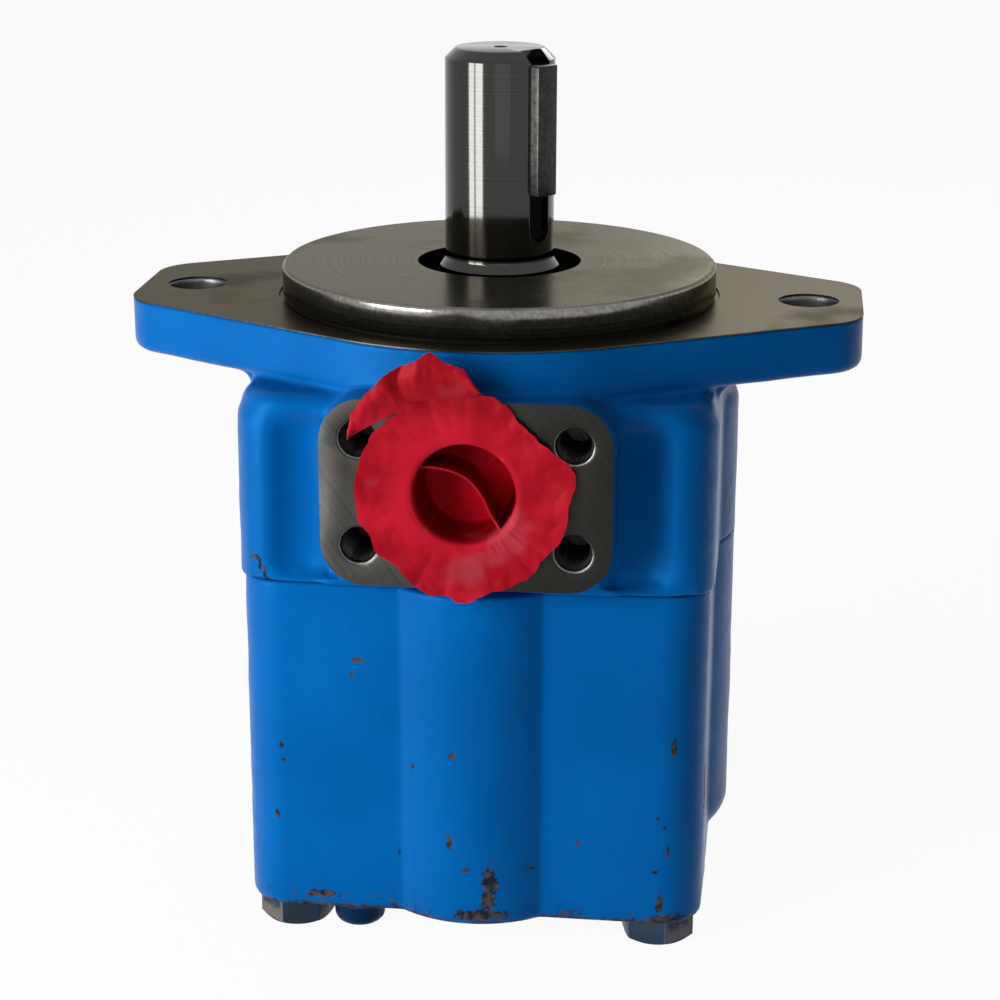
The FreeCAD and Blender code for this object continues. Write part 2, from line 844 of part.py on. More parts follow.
def make_race_ring(label, inner, outer):
    """One ring of the ball bearing, with the groove that the balls run in."""
    body = new_body(label)
    spin(body, "blank", ring(inner, outer, bearing_end, bearing_top))
    before = body.Shape.Volume
    groove = body.newObject("PartDesign::Groove", "race")
    track = circles(
        body,
        "track",
        "XZ_Plane",
        S.ball_dia / 2 + S.running_fit,
        [(pitch_radius, bearing_middle)],
    )
    groove.Profile = track
    groove.ReferenceAxis = (track, ["V_Axis"])
    groove.Angle = 360
    doc.recompute()
    if not body.Shape.Volume < before - 1e-6:
        raise RuntimeError(f"the race of {label} cuts nothing")
    return body


def ball_feature(body, kind, radius):
    """The first ball, or the first ball's pocket, on the bearing's pitch circle."""
    ball = body.newObject(f"PartDesign::{kind}Sphere", "ball")
    ball.Placement = Placement(Vector(), Rotation(Vector(0, 1, 0), 90))
    bind(ball, "Radius", radius)
    bind(ball, "Placement.Base.x", pitch_radius)
    bind(ball, "Placement.Base.z", bearing_middle)
    return settle(ball)


def make_bearing():
    outer = S.bearing_outer_dia / 2
    inner = S.journal_dia / 2 + S.slide_fit
    make_race_ring("bearing_outer_ring", outer - S.bearing_ring_wall, outer)
    make_race_ring("bearing_inner_ring", inner, inner + S.bearing_ring_wall)
    balls = new_body("bearing_balls")
    repeat(balls, [ball_feature(balls, "Additive", S.ball_dia / 2)], S.ball_count)
    cage = new_body("bearing_cage")
    half = S.cage_width / 2
    wall = S.cage_wall / 2
    blank = ring(pitch_radius - wall, pitch_radius + wall, bearing_middle - half, bearing_middle + half)
    spin(cage, "blank", blank)
    repeat(cage, [ball_feature(cage, "Subtractive", S.ball_dia / 2 + S.loose_fit)], S.ball_count)


def make_bearing_retaining_ring():
    """The open ring that snaps into the housing behind the bearing."""
    body = new_body("bearing_retaining_ring")
    outer = S.bearing_outer_dia / 2 + S.circlip_bite
    top = bearing_end - 2 * S.slide_fit
    spin(
        body,
        "hoop",
        ring(outer - S.circlip_depth, outer, top - S.circlip_thickness, top),
        angle=360 - S.circlip_gap,
    )
    return body


def make_shaft_retaining_ring():
    """The open ring that snaps onto the shaft in front of the bearing."""
    body = new_body("shaft_retaining_ring")
    inner = S.journal_dia / 2 - S.shaft_ring_bite + S.slide_fit
    low = bearing_top + 2 * S.slide_fit
    spin(
        body,
        "hoop",
        ring(inner, inner + S.shaft_ring_height, low, low + S.shaft_ring_thickness),
        angle=360 - S.circlip_gap,
    )
    return body


def make_shaft_seal():
    """A pressed steel case, the rubber lip that it holds, and the spring behind the lip."""
    outer = S.seal_bore_dia / 2 - S.slide_fit
    wall = S.seal_case_wall
    journal = S.journal_dia / 2
    low = -S.seal_seat_depth
    high = low + S.seal_width
    inside = journal + 2 * S.seal_lip_wall
    case = new_body("seal_case")
    spin(
        case,
        "pressing",
        [
            (outer - wall, low),
            (outer, low),
            (outer, high),
            (inside, high),
            (inside, high - wall),
            (outer - wall, high - wall),
        ],
    )
    lip = new_body("seal_lip")
    top = high - wall
    tip = top - S.seal_lip_length
    spin(
        lip,
        "rubber",
        [
            (journal + S.running_fit, tip + S.seal_lip_wall),
            (journal + S.seal_lip_wall, tip),
            (inside, top - S.seal_lip_wall),
            (outer - wall, top - S.seal_lip_wall),
            (outer - wall, top),
            (journal + S.seal_lip_wall, top),
        ],
    )
    spring = doc.addObject("Part::Torus", "seal_spring")
    bind(spring, "Radius1", inside + S.seal_spring_dia / 2 - S.seal_lip_wall / 2 + S.loose_fit)
    bind(spring, "Radius2", S.seal_spring_dia / 2)
    bind(spring, "Placement.Base.z", tip + S.seal_spring_dia / 2)


def kidney(body, name, profile, turn):
    """Two arc-shaped passages through a plate, half a turn apart."""
    passage = spin_away(body, name, profile, angle=S.kidney_angle, turn=turn)
    repeat(body, [passage], 2)


def make_outlet_support_plate():
    body = new_body("outlet_support_plate")
    bore = S.neck_dia / 2 + 1
    hub = S.bearing_outer_dia / 2
    hub_top = outlet_plate_top + S.plate_hub_length
    groove_low = hub_top - 2 * S.plate_ring_dia - S.backup_ring_width
    groove_high = groove_low + S.plate_ring_dia + S.backup_ring_width + 3 * S.loose_fit
    groove_floor = hub - S.plate_ring_dia - S.loose_fit
    spin(
        body,
        "turning",
        [
            (bore, cam_top),
            (S.plate_radius, cam_top),
            (S.plate_radius, outlet_plate_top),
            (hub, outlet_plate_top),
            (hub, groove_low),
            (groove_floor, groove_low),
            (groove_floor, groove_high),
            (hub, groove_high),
            (hub, hub_top),
            (bore, hub_top),
        ],
    )
    passage = [
        (S.kidney_inner_radius, cam_top - 1),
        (S.kidney_outer_radius, cam_top - 1),
        (S.gallery_outer_radius - S.outlet_passage_inset, outlet_plate_top + 1),
        (S.gallery_inner_radius + S.outlet_passage_inset, outlet_plate_top + 1),
    ]
    kidney(body, "outlet_kidney", passage, S.inlet_kidney_turn + 90)
    drill_cartridge(body, cam_top, S.dowel_sink + S.drill_spare)
    return body


def drill_cartridge(body, level, depth):
    """Blind holes for the dowel pins and the cartridge screws, upward from a level."""
    pins = circles(
        body,
        "pin_holes",
        "XY_Plane",
        S.dowel_dia / 2 + S.slide_fit,
        [(0, -cartridge_pitch), (0, cartridge_pitch)],
        lift=level,
    )
    cut(body, pins, depth, back=True)
    screws = circles(
        body,
        "screw_holes",
        "XY_Plane",
        S.cartridge_screw_dia / 2 + S.slide_fit,
        [(-cartridge_pitch, 0), (cartridge_pitch, 0)],
        lift=level,
    )
    cut(body, screws, depth, back=True)


def make_cam_ring():
    """The ring whose oval bore drives the vanes in and out twice a turn."""
    blank = doc.addObject("Part::Cylinder", "cam_blank")
    bind(blank, "Radius", S.cam_outer_radius)
    bind(blank, "Height", S.cam_width)
    bind(blank, "Placement.Base.z", cam_end)
    oval = doc.addObject("Part::Ellipse", "cam_oval")
    bind(oval, "MajorRadius", S.cam_major_radius)
    bind(oval, "MinorRadius", S.cam_minor_radius)
    bind(oval, "Placement.Base.z", cam_end - 1)
    bore = doc.addObject("Part::Extrusion", "cam_bore")
    bore.Base = oval
    bore.DirMode = "Custom"
    bore.Dir = Vector(0, 0, 1)
    bind(bore, "LengthFwd", S.cam_width + 2)
    bore.Solid = True
    tools = [bore]
    pitch = cartridge_pitch
    for name, radius, x, y in (
        ("dowel_hole_a", S.dowel_dia / 2, formula(0), pitch),
        ("dowel_hole_b", S.dowel_dia / 2, formula(0), -pitch),
        ("cartridge_hole_a", S.cartridge_screw_dia / 2, pitch, formula(0)),
        ("cartridge_hole_b", S.cartridge_screw_dia / 2, -pitch, formula(0)),
    ):
        hole = doc.addObject("Part::Cylinder", name)
        bind(hole, "Radius", radius + S.slide_fit)
        bind(hole, "Height", S.cam_width + 2)
        bind(hole, "Placement.Base.x", x)
        bind(hole, "Placement.Base.y", y)
        bind(hole, "Placement.Base.z", cam_end - 1)
        tools.append(hole)
    hollow = doc.addObject("Part::MultiFuse", "cam_hollow")
    hollow.Shapes = tools
    cam = doc.addObject("Part::Cut", "cam_ring")
    cam.Base = blank
    cam.Tool = hollow
    doc.recompute()


def make_rotor():
    body = new_body("rotor")
    high = cam_top - S.running_fit
    low = cam_end + S.running_fit
    fit = S.running_fit
    spin(body, "blank", ring(S.spline_minor_dia / 2 + fit, S.rotor_radius, low, high))
    tooth = S.spline_tooth / 2 + fit
    inside = S.spline_minor_dia / 2 - 1
    outside = S.spline_major_dia / 2 + fit
    tip = tooth * S.spline_tip_share + fit
    gap = polygon(
        body,
        "tooth_gap",
        "XY_Plane",
        [(inside, -tooth), (outside, -tip), (outside, tip), (inside, tooth)],
        lift=high,
    )
    repeat(body, [cut(body, gap, high - low)], S.spline_teeth)
    half = S.vane_thickness / 2 + S.slide_fit
    floor = S.cam_minor_radius - S.vane_rest_gap - S.vane_height - S.slot_spare
    slot = polygon(
        body,
        "vane_slot",
        "XY_Plane",
        [(floor, -half), (S.rotor_radius + 1, -half), (S.rotor_radius + 1, half), (floor, half)],
        lift=high,
    )
    slot_cut = cut(body, slot, high - low)
    well = circles(body, "slot_well", "XY_Plane", half * S.slot_well_share, [(floor, 0)], lift=high)
    repeat(body, [slot_cut, cut(body, well, high - low)], S.vane_count)
    return body


def make_vane(index):
    """One vane and the insert in its underside, made along X and turned to its slot."""
    high = cam_top - S.running_fit
    low = cam_end + S.running_fit
    middle = (high + low) / 2
    half = S.vane_thickness / 2
    tip = S.cam_minor_radius - S.vane_rest_gap
    root = tip - S.vane_height
    bevel = S.vane_tip_chamfer
    turn = 360 / S.vane_count * index
    vane = new_body(f"vane_{index + 1:02d}")
    outline = [
        (root, -half),
        (tip - bevel, -half),
        (tip, bevel - half),
        (tip, half - bevel),
        (tip - bevel, half),
        (root, half),
    ]
    add(vane, polygon(vane, f"blade_{index}", "XY_Plane", outline, lift=high), high - low, back=True)
    notch = S.insert_length / 2 + S.slide_fit
    notch_top = root + S.insert_height + S.slide_fit
    corners = [
        (root - 1, middle - notch),
        (notch_top, middle - notch),
        (notch_top, middle + notch),
        (root - 1, middle + notch),
    ]
    pocket = polygon(vane, f"notch_{index}", "XZ_Plane", corners, lift=S.vane_thickness)
    cut(vane, pocket, 2 * S.vane_thickness)
    insert = new_body(f"vane_insert_{index + 1:02d}")
    block = [
        (root, -half),
        (root + S.insert_height, -half),
        (root + S.insert_height, half),
        (root, half),
    ]
    top = middle + S.insert_length / 2
    add(insert, polygon(insert, f"block_{index}", "XY_Plane", block, lift=top), S.insert_length, back=True)
    for body in (vane, insert):
        body.Placement = Placement(Vector(), Rotation(Vector(0, 0, 1), float(turn)))
        bind(body, "Placement.Rotation.Angle", turn)


def make_inlet_support_plate():
    body = new_body("inlet_support_plate")
    bore = S.tail_dia / 2 + S.tail_clearance
    bush_top = cam_end - S.bush_inset
    bore_end = cam_end - S.tail_length - S.tail_end_gap
    bush_low = bush_top - S.bush_length
    seat = bush_radius + S.slide_fit
    spin(
        body,
        "turning",
        [
            (0, cavity_floor),
            (S.inlet_hub_radius, cavity_floor),
            (S.inlet_hub_radius, inlet_plate_end),
            (S.cam_outer_radius, inlet_plate_end),
            (S.cam_outer_radius, cam_end),
            (bore, cam_end),
            (bore, bush_top),
            (seat, bush_top),
            (seat, bush_low),
            (bore, bush_low),
            (bore, bore_end),
            (0, bore_end),
        ],
    )
    passage = [
        (S.kidney_inner_radius, cam_end + 1),
        (S.kidney_outer_radius, cam_end + 1),
        (S.kidney_outer_radius + S.inlet_passage_step, inlet_plate_end - 1),
        (S.kidney_inner_radius + S.inlet_passage_step, inlet_plate_end - 1),
    ]
    kidney(body, "inlet_kidney", passage, S.inlet_kidney_turn)
    pins = circles(
        body,
        "pin_holes",
        "XY_Plane",
        S.dowel_dia / 2 + S.slide_fit,
        [(0, -cartridge_pitch), (0, cartridge_pitch)],
        lift=cam_end,
    )
    cut(body, pins, S.dowel_sink + S.drill_spare)
    screws = circles(
        body,
        "screw_holes",
        "XY_Plane",
        S.cartridge_screw_dia / 2 + S.slide_fit,
        [(-cartridge_pitch, 0), (cartridge_pitch, 0)],
        lift=cam_end,
    )
    cut(body, screws, S.inlet_plate_width + S.drill_spare)
    return body


def make_dowel_pins():
    body = new_body("dowel_pins")
    spots = [(0, -cartridge_pitch), (0, cartridge_pitch)]
    top = cam_top + S.dowel_sink
    pins = circles(body, "pin", "XY_Plane", S.dowel_dia / 2, spots, lift=top)
    add(body, pins, S.cam_width + 2 * S.dowel_sink, back=True)
    return body


def make_cartridge_screws():
    body = new_body("cartridge_screws")
    spots = [(-cartridge_pitch, 0), (cartridge_pitch, 0)]
    shanks = circles(body, "shank", "XY_Plane", S.cartridge_screw_dia / 2, spots, lift=inlet_plate_end)
    add(body, shanks, S.inlet_plate_width + S.cam_width + S.dowel_sink)
    heads = circles(body, "head", "XY_Plane", S.cartridge_head_dia / 2, spots, lift=inlet_plate_end)
    add(body, heads, S.cartridge_head_height, back=True)
    return body


def make_rubber_rings():
    cover_ring = doc.addObject("Part::Torus", "cover_oring")
    bind(cover_ring, "Radius1", S.cover_ring_radius)
    bind(cover_ring, "Radius2", S.cover_ring_dia / 2)
    bind(cover_ring, "Placement.Base.z", seam - S.cover_ring_dia / 2 - S.loose_fit / 2)
    hub = S.bearing_outer_dia / 2
    hub_top = outlet_plate_top + S.plate_hub_length
    groove_low = hub_top - 2 * S.plate_ring_dia - S.backup_ring_width
    ring_low = groove_low + S.backup_ring_width + 2 * S.loose_fit
    plate_ring = doc.addObject("Part::Torus", "plate_oring")
    bind(plate_ring, "Radius1", hub - S.plate_ring_dia / 2 - S.loose_fit / 2)
    bind(plate_ring, "Radius2", S.plate_ring_dia / 2)
    bind(plate_ring, "Placement.Base.z", ring_low + S.plate_ring_dia / 2)
    backup = new_body("plate_backup_ring")
    low = groove_low + S.loose_fit / 2
    inner = hub - S.plate_ring_dia
    spin(backup, "strip", ring(inner, hub, low, low + S.backup_ring_width))


def make_tail_bush():
    body = new_body("tail_bush")
    top = cam_end - S.bush_inset - S.slide_fit
    inner = S.tail_dia / 2 + S.running_fit
    spin(body, "sleeve", ring(inner, bush_radius, top - S.bush_length + 2 * S.slide_fit, top))
    return body


# Corners of the torn film about the port's centre: degrees from +X, and shares of its reach
FILM_CORNERS = (
    (6, 1.04),
    (35, 0.84),
    (63, 0.90),
    (79, 0.93),
    (97, 0.87),
    (131, 0.95),
    (154, 0.99),
    (173, 0.98),
    (194, 0.98),
    (215, 0.94),
    (237, 0.92),
    (266, 1.00),
    (283, 0.93),
    (298, 0.95),
    (319, 0.94),
    (340, 1.00),
)


def make_port_film():
    """Thin plastic stretched over the outlet, pressed down into its bore like a cup."""
    body = new_body("port_film")
    corners = []
    for angle, share in FILM_CORNERS:
        reach = S.film_reach * share
        across = reach * math.cos(math.radians(angle))
        up = reach * math.sin(math.radians(angle))
        corners.append((across, up - S.outlet_depth))
    sheet_outline = polygon(body, "film_outline", "XZ_Plane", corners, lift=S.outlet_face)
    add(body, sheet_outline, S.film_thickness)
    middle = [(0, -S.outlet_depth)]
    cup_radius = S.outlet_bore_dia / 2 - 3 * S.loose_fit
    cup = circles(body, "film_cup", "XZ_Plane", cup_radius, middle, lift=S.outlet_face)
    add(body, cup, S.film_cup_depth, back=True)
    hollow = circles(
        body,
        "film_hollow",
        "XZ_Plane",
        cup_radius - S.film_thickness,
        middle,
        lift=S.outlet_face + S.film_thickness,
    )
    cut(body, hollow, S.film_cup_depth)
    return body


make_front_housing()
make_rear_cover()
make_cover_screws()
make_drive_shaft()
make_shaft_key()
make_bearing()
make_bearing_retaining_ring()
make_shaft_retaining_ring()
make_shaft_seal()
make_outlet_support_plate()
make_cam_ring()
make_rotor()
for vane_index in range(round(float(S.vane_count))):
    make_vane(vane_index)
make_inlet_support_plate()
make_dowel_pins()
make_cartridge_screws()
make_rubber_rings()
make_tail_bush()
make_port_film()
doc.recompute()

LOOSE_PARTS = ("seal_spring", "cam_ring", "cover_oring", "plate_oring")
parts = [item for item in doc.Objects if item.TypeId == "PartDesign::Body"]
parts = [item for item in parts if item.Label != "housing_casting"]
parts += [doc.getObject(name) for name in LOOSE_PARTS]

for item in doc.Objects:
    if "Invalid" in item.State or "Error" in item.State:
        raise RuntimeError(f"{item.Name} failed: {item.State}")
for part in parts:
    if part.Shape.isNull() or not part.Shape.isValid():
        raise RuntimeError(f"{part.Label} has no valid shape")

os.makedirs("parts", exist_ok=True)
for part in parts:
    part.Shape.exportStep(f"parts/{part.Label}.step")
    print(part.Label, len(part.Shape.Solids), round(part.Shape.Volume))
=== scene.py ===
# %% [markdown]
# # A hydraulic vane pump
#
# This notebook dresses a pump that was built as solids in another program. The solids arrive as a fixed
# frame: every piece made here sits where the frame says, in metres, with +Z up the drive shaft, -Y towards
# the outlet port and the origin on the mounting face at the shaft's axis. We first load the frame and keep
# its box, because the finished pump may not grow out of it.

import json
import math

import bmesh
import bpy
from mathutils import Matrix, Vector, noise


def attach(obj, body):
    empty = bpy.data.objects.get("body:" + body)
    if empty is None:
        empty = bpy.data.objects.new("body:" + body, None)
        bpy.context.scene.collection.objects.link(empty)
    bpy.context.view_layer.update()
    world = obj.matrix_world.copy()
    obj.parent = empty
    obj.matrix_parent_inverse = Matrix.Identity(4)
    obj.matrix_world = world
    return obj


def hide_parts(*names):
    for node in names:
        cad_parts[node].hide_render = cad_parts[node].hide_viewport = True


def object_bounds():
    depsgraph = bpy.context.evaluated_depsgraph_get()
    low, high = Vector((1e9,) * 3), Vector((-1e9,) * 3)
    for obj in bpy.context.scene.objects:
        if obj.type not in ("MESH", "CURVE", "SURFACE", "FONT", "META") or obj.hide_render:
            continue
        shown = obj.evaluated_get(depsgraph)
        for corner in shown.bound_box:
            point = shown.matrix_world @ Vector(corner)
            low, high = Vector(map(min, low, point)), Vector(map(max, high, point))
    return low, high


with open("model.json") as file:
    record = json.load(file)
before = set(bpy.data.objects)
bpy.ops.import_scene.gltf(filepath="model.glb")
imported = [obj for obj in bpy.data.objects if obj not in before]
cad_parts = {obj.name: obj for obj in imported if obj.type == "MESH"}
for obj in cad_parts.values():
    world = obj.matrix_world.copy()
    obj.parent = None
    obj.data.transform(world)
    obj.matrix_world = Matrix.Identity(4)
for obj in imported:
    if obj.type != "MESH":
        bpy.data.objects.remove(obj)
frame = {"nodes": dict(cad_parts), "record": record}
solid_box = [list(corner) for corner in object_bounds()]
mm = 0.001
print("box of the solids", solid_box)

# %% [markdown]
# ## The camera
#
# The photograph was taken from a little above and a little to the right of the outlet. Its place was worked
# out from the ellipses of the pilot and the bolt holes. We could rotate a camera by hand until it fits, but
# three directions say the same thing exactly: where the camera looks back from, which way is right and which
# way is up. They form the columns of its matrix.

# %% Place the camera
def new_object(name, data):
    """An object of the scene, for a mesh, a lamp or the camera."""
    made = bpy.data.objects.new(name, data)
    bpy.context.scene.collection.objects.link(made)
    return made


def turned(vector, about, angle):
    """The vector after a turn about an axis."""
    return Matrix.Rotation(angle, 3, about) @ vector


azimuth, elevation = math.radians(6.63), math.radians(16.083)
distance, focal_px, picture_px = 745.35 * mm, 2484.8, 1000
looked_at = Vector((0, 0, -44.45 * mm))
looked_at_px = (498.7, 436.5)
camera_roll = math.radians(0.187)

back = Vector((
    math.sin(azimuth) * math.cos(elevation),
    -math.cos(azimuth) * math.cos(elevation),
    math.sin(elevation),
))
camera_place = looked_at + back * distance
right = Vector((0, 0, 1)).cross(back).normalized()
up = back.cross(right)
pan = math.atan((looked_at_px[0] - picture_px / 2) / focal_px)
tilt = math.atan((picture_px / 2 - looked_at_px[1]) / focal_px)
right, back = turned(right, up, pan), turned(back, up, pan)
up, back = turned(up, right, -tilt), turned(back, right, -tilt)
right, up = turned(right, back, camera_roll), turned(up, back, camera_roll)

camera_data = bpy.data.cameras.new("camera")
camera_data.sensor_width = 36
camera_data.lens = focal_px * camera_data.sensor_width / picture_px
camera_data.clip_start = 0.05
camera = new_object("camera", camera_data)
matrix = Matrix((right, up, back)).transposed().to_4x4()
matrix.translation = camera_place
camera.matrix_world = matrix
bpy.context.scene.camera = camera
bpy.context.scene.view_settings.view_transform = "Standard"
print("camera at", [round(c, 3) for c in camera_place], "lens", round(camera_data.lens, 1))

# %% [markdown]
# ## Shader sums written as Python
#
# A procedural finish is a long sum of masks and noises. Wiring it node by node hides the idea, so one small
# class stands for the output of a node and lets Python's own signs add the Math nodes. Colours and vectors
# must not go through a Math node, which turns them grey, so they have methods of their own.

# %% The class for shader values
class Value:
    """The output of a shader node. Sums with numbers and other values add Math nodes."""

    def __init__(self, recipe, socket):
        self.recipe = recipe
        self.socket = socket

    def math(self, operation, *others):
        places = dict(enumerate((self, *others)))
        return self.recipe.node("Math", {"operation": operation}, places)

    def __add__(self, other):
        return self.math("ADD", other)

    def __sub__(self, other):
        return self.math("SUBTRACT", other)

    def __mul__(self, other):
        return self.math("MULTIPLY", other)

    def __rsub__(self, other):
        return self.recipe.node("Math", {"operation": "SUBTRACT"}, {0: other, 1: self})

    __radd__ = __add__
    __rmul__ = __mul__

    def larger(self, other):
        return self.math("MAXIMUM", other)

    def smaller(self, other):
        return self.math("MINIMUM", other)

    def rise(self, low, high):
        """0 up to low, 1 from high on, and a smooth slope between."""
        settings = {"interpolation_type": "SMOOTHSTEP"}
        return self.recipe.node("MapRange", settings, {0: self, 1: low, 2: high})

    def fall(self, low, high):
        return 1 - self.rise(low, high)

    def vector(self, operation, *others, output=0):
        places = dict(enumerate((self, *others)))
        return self.recipe.node("VectorMath", {"operation": operation}, places, output)

    def parts(self):
        return [self.recipe.node("SeparateXYZ", {}, {0: self}, i) for i in range(3)]


print("shader values ready")

# %% [markdown]
# A recipe holds the nodes of one material, or of the sky. One method adds any node, and the others are short
# names for common ones.

# %% The class for recipes
class Recipe:
    """The nodes of a material, or of the world, in the making."""

    def __init__(self, owner):
        owner.use_nodes = True
        self.owner = owner
        self.tree = owner.node_tree
        self.tree.nodes.clear()
        # Where the point is on the object, in metres.
        self.place = self.node("TexCoord", {}, {}, "Object")

    def node(self, kind, settings, places, output=0):
        """Adds a node of any type: its settings first, then the values or links of its sockets."""
        made = self.tree.nodes.new("ShaderNode" + kind)
        for name, setting in settings.items():
            setattr(made, name, setting)
        for name, amount in places.items():
            if isinstance(amount, Value):
                self.tree.links.new(amount.socket, made.inputs[name])
            elif isinstance(made.inputs[name].default_value, float):
                made.inputs[name].default_value = amount
            else:
                wanted = len(made.inputs[name].default_value)
                made.inputs[name].default_value = (*amount, 1)[:wanted]
        return Value(self, made.outputs[output])

    def noise(self, scale, detail=3, roughness=0.5):
        sizes = {"Vector": self.place, "Scale": scale, "Detail": detail, "Roughness": roughness}
        return self.node("TexNoise", {}, sizes, "Fac")

    def mix(self, factor, low, high):
        """The colour low where factor is 0 and high where it is 1."""
        return self.node("Mix", {"data_type": "RGBA"}, {0: factor, 6: low, 7: high}, 2)

    def blend(self, factor, low, high):
        """The same for plain numbers."""
        return self.node("Mix", {"data_type": "FLOAT"}, {0: factor, 2: low, 3: high})

    def bump(self, height, distance, strength):
        """Turns a height, in units of distance, into a normal."""
        return self.node("Bump", {}, {"Height": height, "Distance": distance, "Strength": strength})

    def outer_edges(self, ragged, low, high):
        """1 on edges that point outward by more than high, 0 below low, both shifted by ragged."""
        return (self.node("NewGeometry", {}, {}, "Pointiness") + ragged).rise(low, high)

    def surface(self, **places):
        shader = self.node("BsdfPrincipled", {}, {name.replace("_", " "): v for name, v in places.items()})
        return self.output(shader)

    def output(self, shader, kind="Material"):
        end = self.tree.nodes.new("ShaderNodeOutput" + kind)
        self.tree.links.new(shader.socket, end.inputs["Surface"])
        return self.owner


def new_recipe(name):
    return Recipe(bpy.data.materials.new(name))


print("recipes ready")

# %% [markdown]
# ## Floor and light
#
# The pump stands on the heads of its four cover screws, so the floor lies at the lowest point of the solids.
# The paper sweep curves up far behind the pump. The camera, mirrors and glass see it nearly white, while the
# pump still leaves a soft shadow on it.

# %% Floor and sky
floor_level = solid_box[0][2]


def seen_directly(recipe):
    """1 for rays from the camera, from a mirror and through glass."""
    rays = [recipe.node("LightPath", {}, {}, f"Is {ray} Ray") for ray in ("Camera", "Glossy", "Transmission")]
    return (rays[0] + rays[1] + rays[2]).smaller(1)


def paper_sweep():
    depth, rise, half_width, bend, steps = 1.3, 2.2, 4.0, 0.6, 16
    profile = [(-4.0, 0.0), (depth, 0.0)]
    for i in range(1, steps + 1):
        turn = math.pi / 2 * i / steps
        profile.append((depth + bend * math.sin(turn), bend * (1 - math.cos(turn))))
    profile.append((depth + bend, rise))
    mesh = bpy.data.meshes.new("paper_sweep")
    corners = [(side * half_width, y, floor_level + z) for y, z in profile for side in (-1, 1)]
    faces = [(2 * i, 2 * i + 1, 2 * i + 3, 2 * i + 2) for i in range(len(profile) - 1)]
    mesh.from_pydata(corners, [], faces)
    mesh.shade_smooth()
    sweep = new_object("paper_sweep", mesh)
    recipe = new_recipe("white_paper")
    tint = recipe.noise(6, 2)
    paper = recipe.node("BsdfDiffuse", {}, {"Color": recipe.mix(tint, (0.86, 0.86, 0.86), (0.9, 0.9, 0.9))})
    glow = recipe.node("Emission", {}, {"Color": (1, 1, 1), "Strength": 1.0})
    share = seen_directly(recipe) * 0.94
    mesh.materials.append(recipe.output(recipe.node("MixShader", {}, {0: share, 1: paper, 2: glow})))


def white_sky(lighting, seen):
    """A sky of one strength for its light and of another for what rays see of it directly."""
    recipe = Recipe(bpy.data.worlds.new("studio"))
    strength = recipe.blend(seen_directly(recipe), lighting, seen)
    sky = recipe.node("Background", {}, {"Color": (1, 1, 1), "Strength": strength})
    bpy.context.scene.world = recipe.output(sky, "World")


paper_sweep()
white_sky(0.18, 0.965)
print("floor at", round(floor_level, 4))

# %% [markdown]
# A photographer would light such a part with large soft boxes: two tall ones side by side on the left, which
# shape the blue casting and draw a pair of bright stripes down the shaft, a faint one in front, a small hard
# one for glints, and one at the back for the far sides.

# %% Lamps
def soft_box(name, place, aim_height, width, height, watts, on_paint=True):
    """A lamp that faces the shaft's axis. With on_paint off, only what mirrors sees it."""
    light = bpy.data.lights.new(name, "AREA")
    light.shape = "RECTANGLE"
    light.size = width
    light.size_y = height
    light.energy = watts
    lamp = new_object(name, light)
    lamp.location = place
    lamp.visible_camera = False
    lamp.visible_diffuse = on_paint
    lamp.rotation_euler = (Vector((0, 0, aim_height)) - Vector(place)).to_track_quat("-Z", "Y").to_euler()


soft_box("key_box_1", (-0.495, -0.362, -0.02), -0.06, 0.13, 0.56, 2.45)
soft_box("key_box_2", (-0.370, -0.491, -0.02), -0.06, 0.17, 0.56, 3.2)
# Two more panels in front of those add to what polished steel mirrors and leave the paint as it is.
soft_box("sheen_box_1", (-0.488, -0.357, -0.02), -0.06, 0.13, 0.56, 1.17, on_paint=False)
soft_box("sheen_box_2", (-0.365, -0.484, -0.02), -0.06, 0.17, 0.56, 1.53, on_paint=False)
soft_box("fill_box", (0.25, -1.2, 0.1), -0.08, 0.7, 0.7, 0.6)
soft_box("glint_box", (-0.30, -0.62, 0.34), -0.02, 0.035, 0.035, 0.22)
soft_box("back_box", (0.25, 1.0, 0.5), -0.03, 0.55, 0.4, 2.2)
print("lamps:", len(bpy.data.lights))

# %% [markdown]
# ## Blue enamel on rough iron
#
# The castings are sprayed with a thick glossy blue. On the real pump its colour drifts a little from place
# to place, the iron's grain shows through as a soft bump, and knocks have chipped it down to dark primer and
# rusty iron, most of all along the bottom edge. An image would have to be unwrapped on to the casting. Sums
# of noise and of distances to a few knocks need nothing of the kind and stay sharp at any size.

# %% Distances in a material
def ragged_spots(recipe, spots, wobble):
    """1 inside any of the spots, each a centre and three half-sizes in millimetres, with a ragged rim."""
    nearest = None
    for spot in spots:
        offset = recipe.place.vector("SUBTRACT", [c * mm for c in spot[:3]])
        share = offset.vector("DIVIDE", [r * mm for r in spot[3:]])
        distance = share.vector("LENGTH", output="Value")
        nearest = nearest.smaller(distance) if nearest else distance
    return (nearest + wobble).fall(0.9, 1.05)


def flat_radius(recipe, centre=(0, 0, 0), axis="z"):
    """The distance from a line through centre along z or y."""
    keep = {"z": (1, 1, 0), "y": (1, 0, 1)}[axis]
    offset = recipe.place.vector("SUBTRACT", [c * mm for c in centre])
    return offset.vector("MULTIPLY", keep).vector("LENGTH", output="Value")


print("distances ready")

# %% [markdown]
# The enamel is built up as on the pump: the blue, then what took it off, then the iron below. Roughness and
# bump follow the same masks, because a chip is also duller and deeper.

# %% The enamel
casting_foot = -169.5 * mm


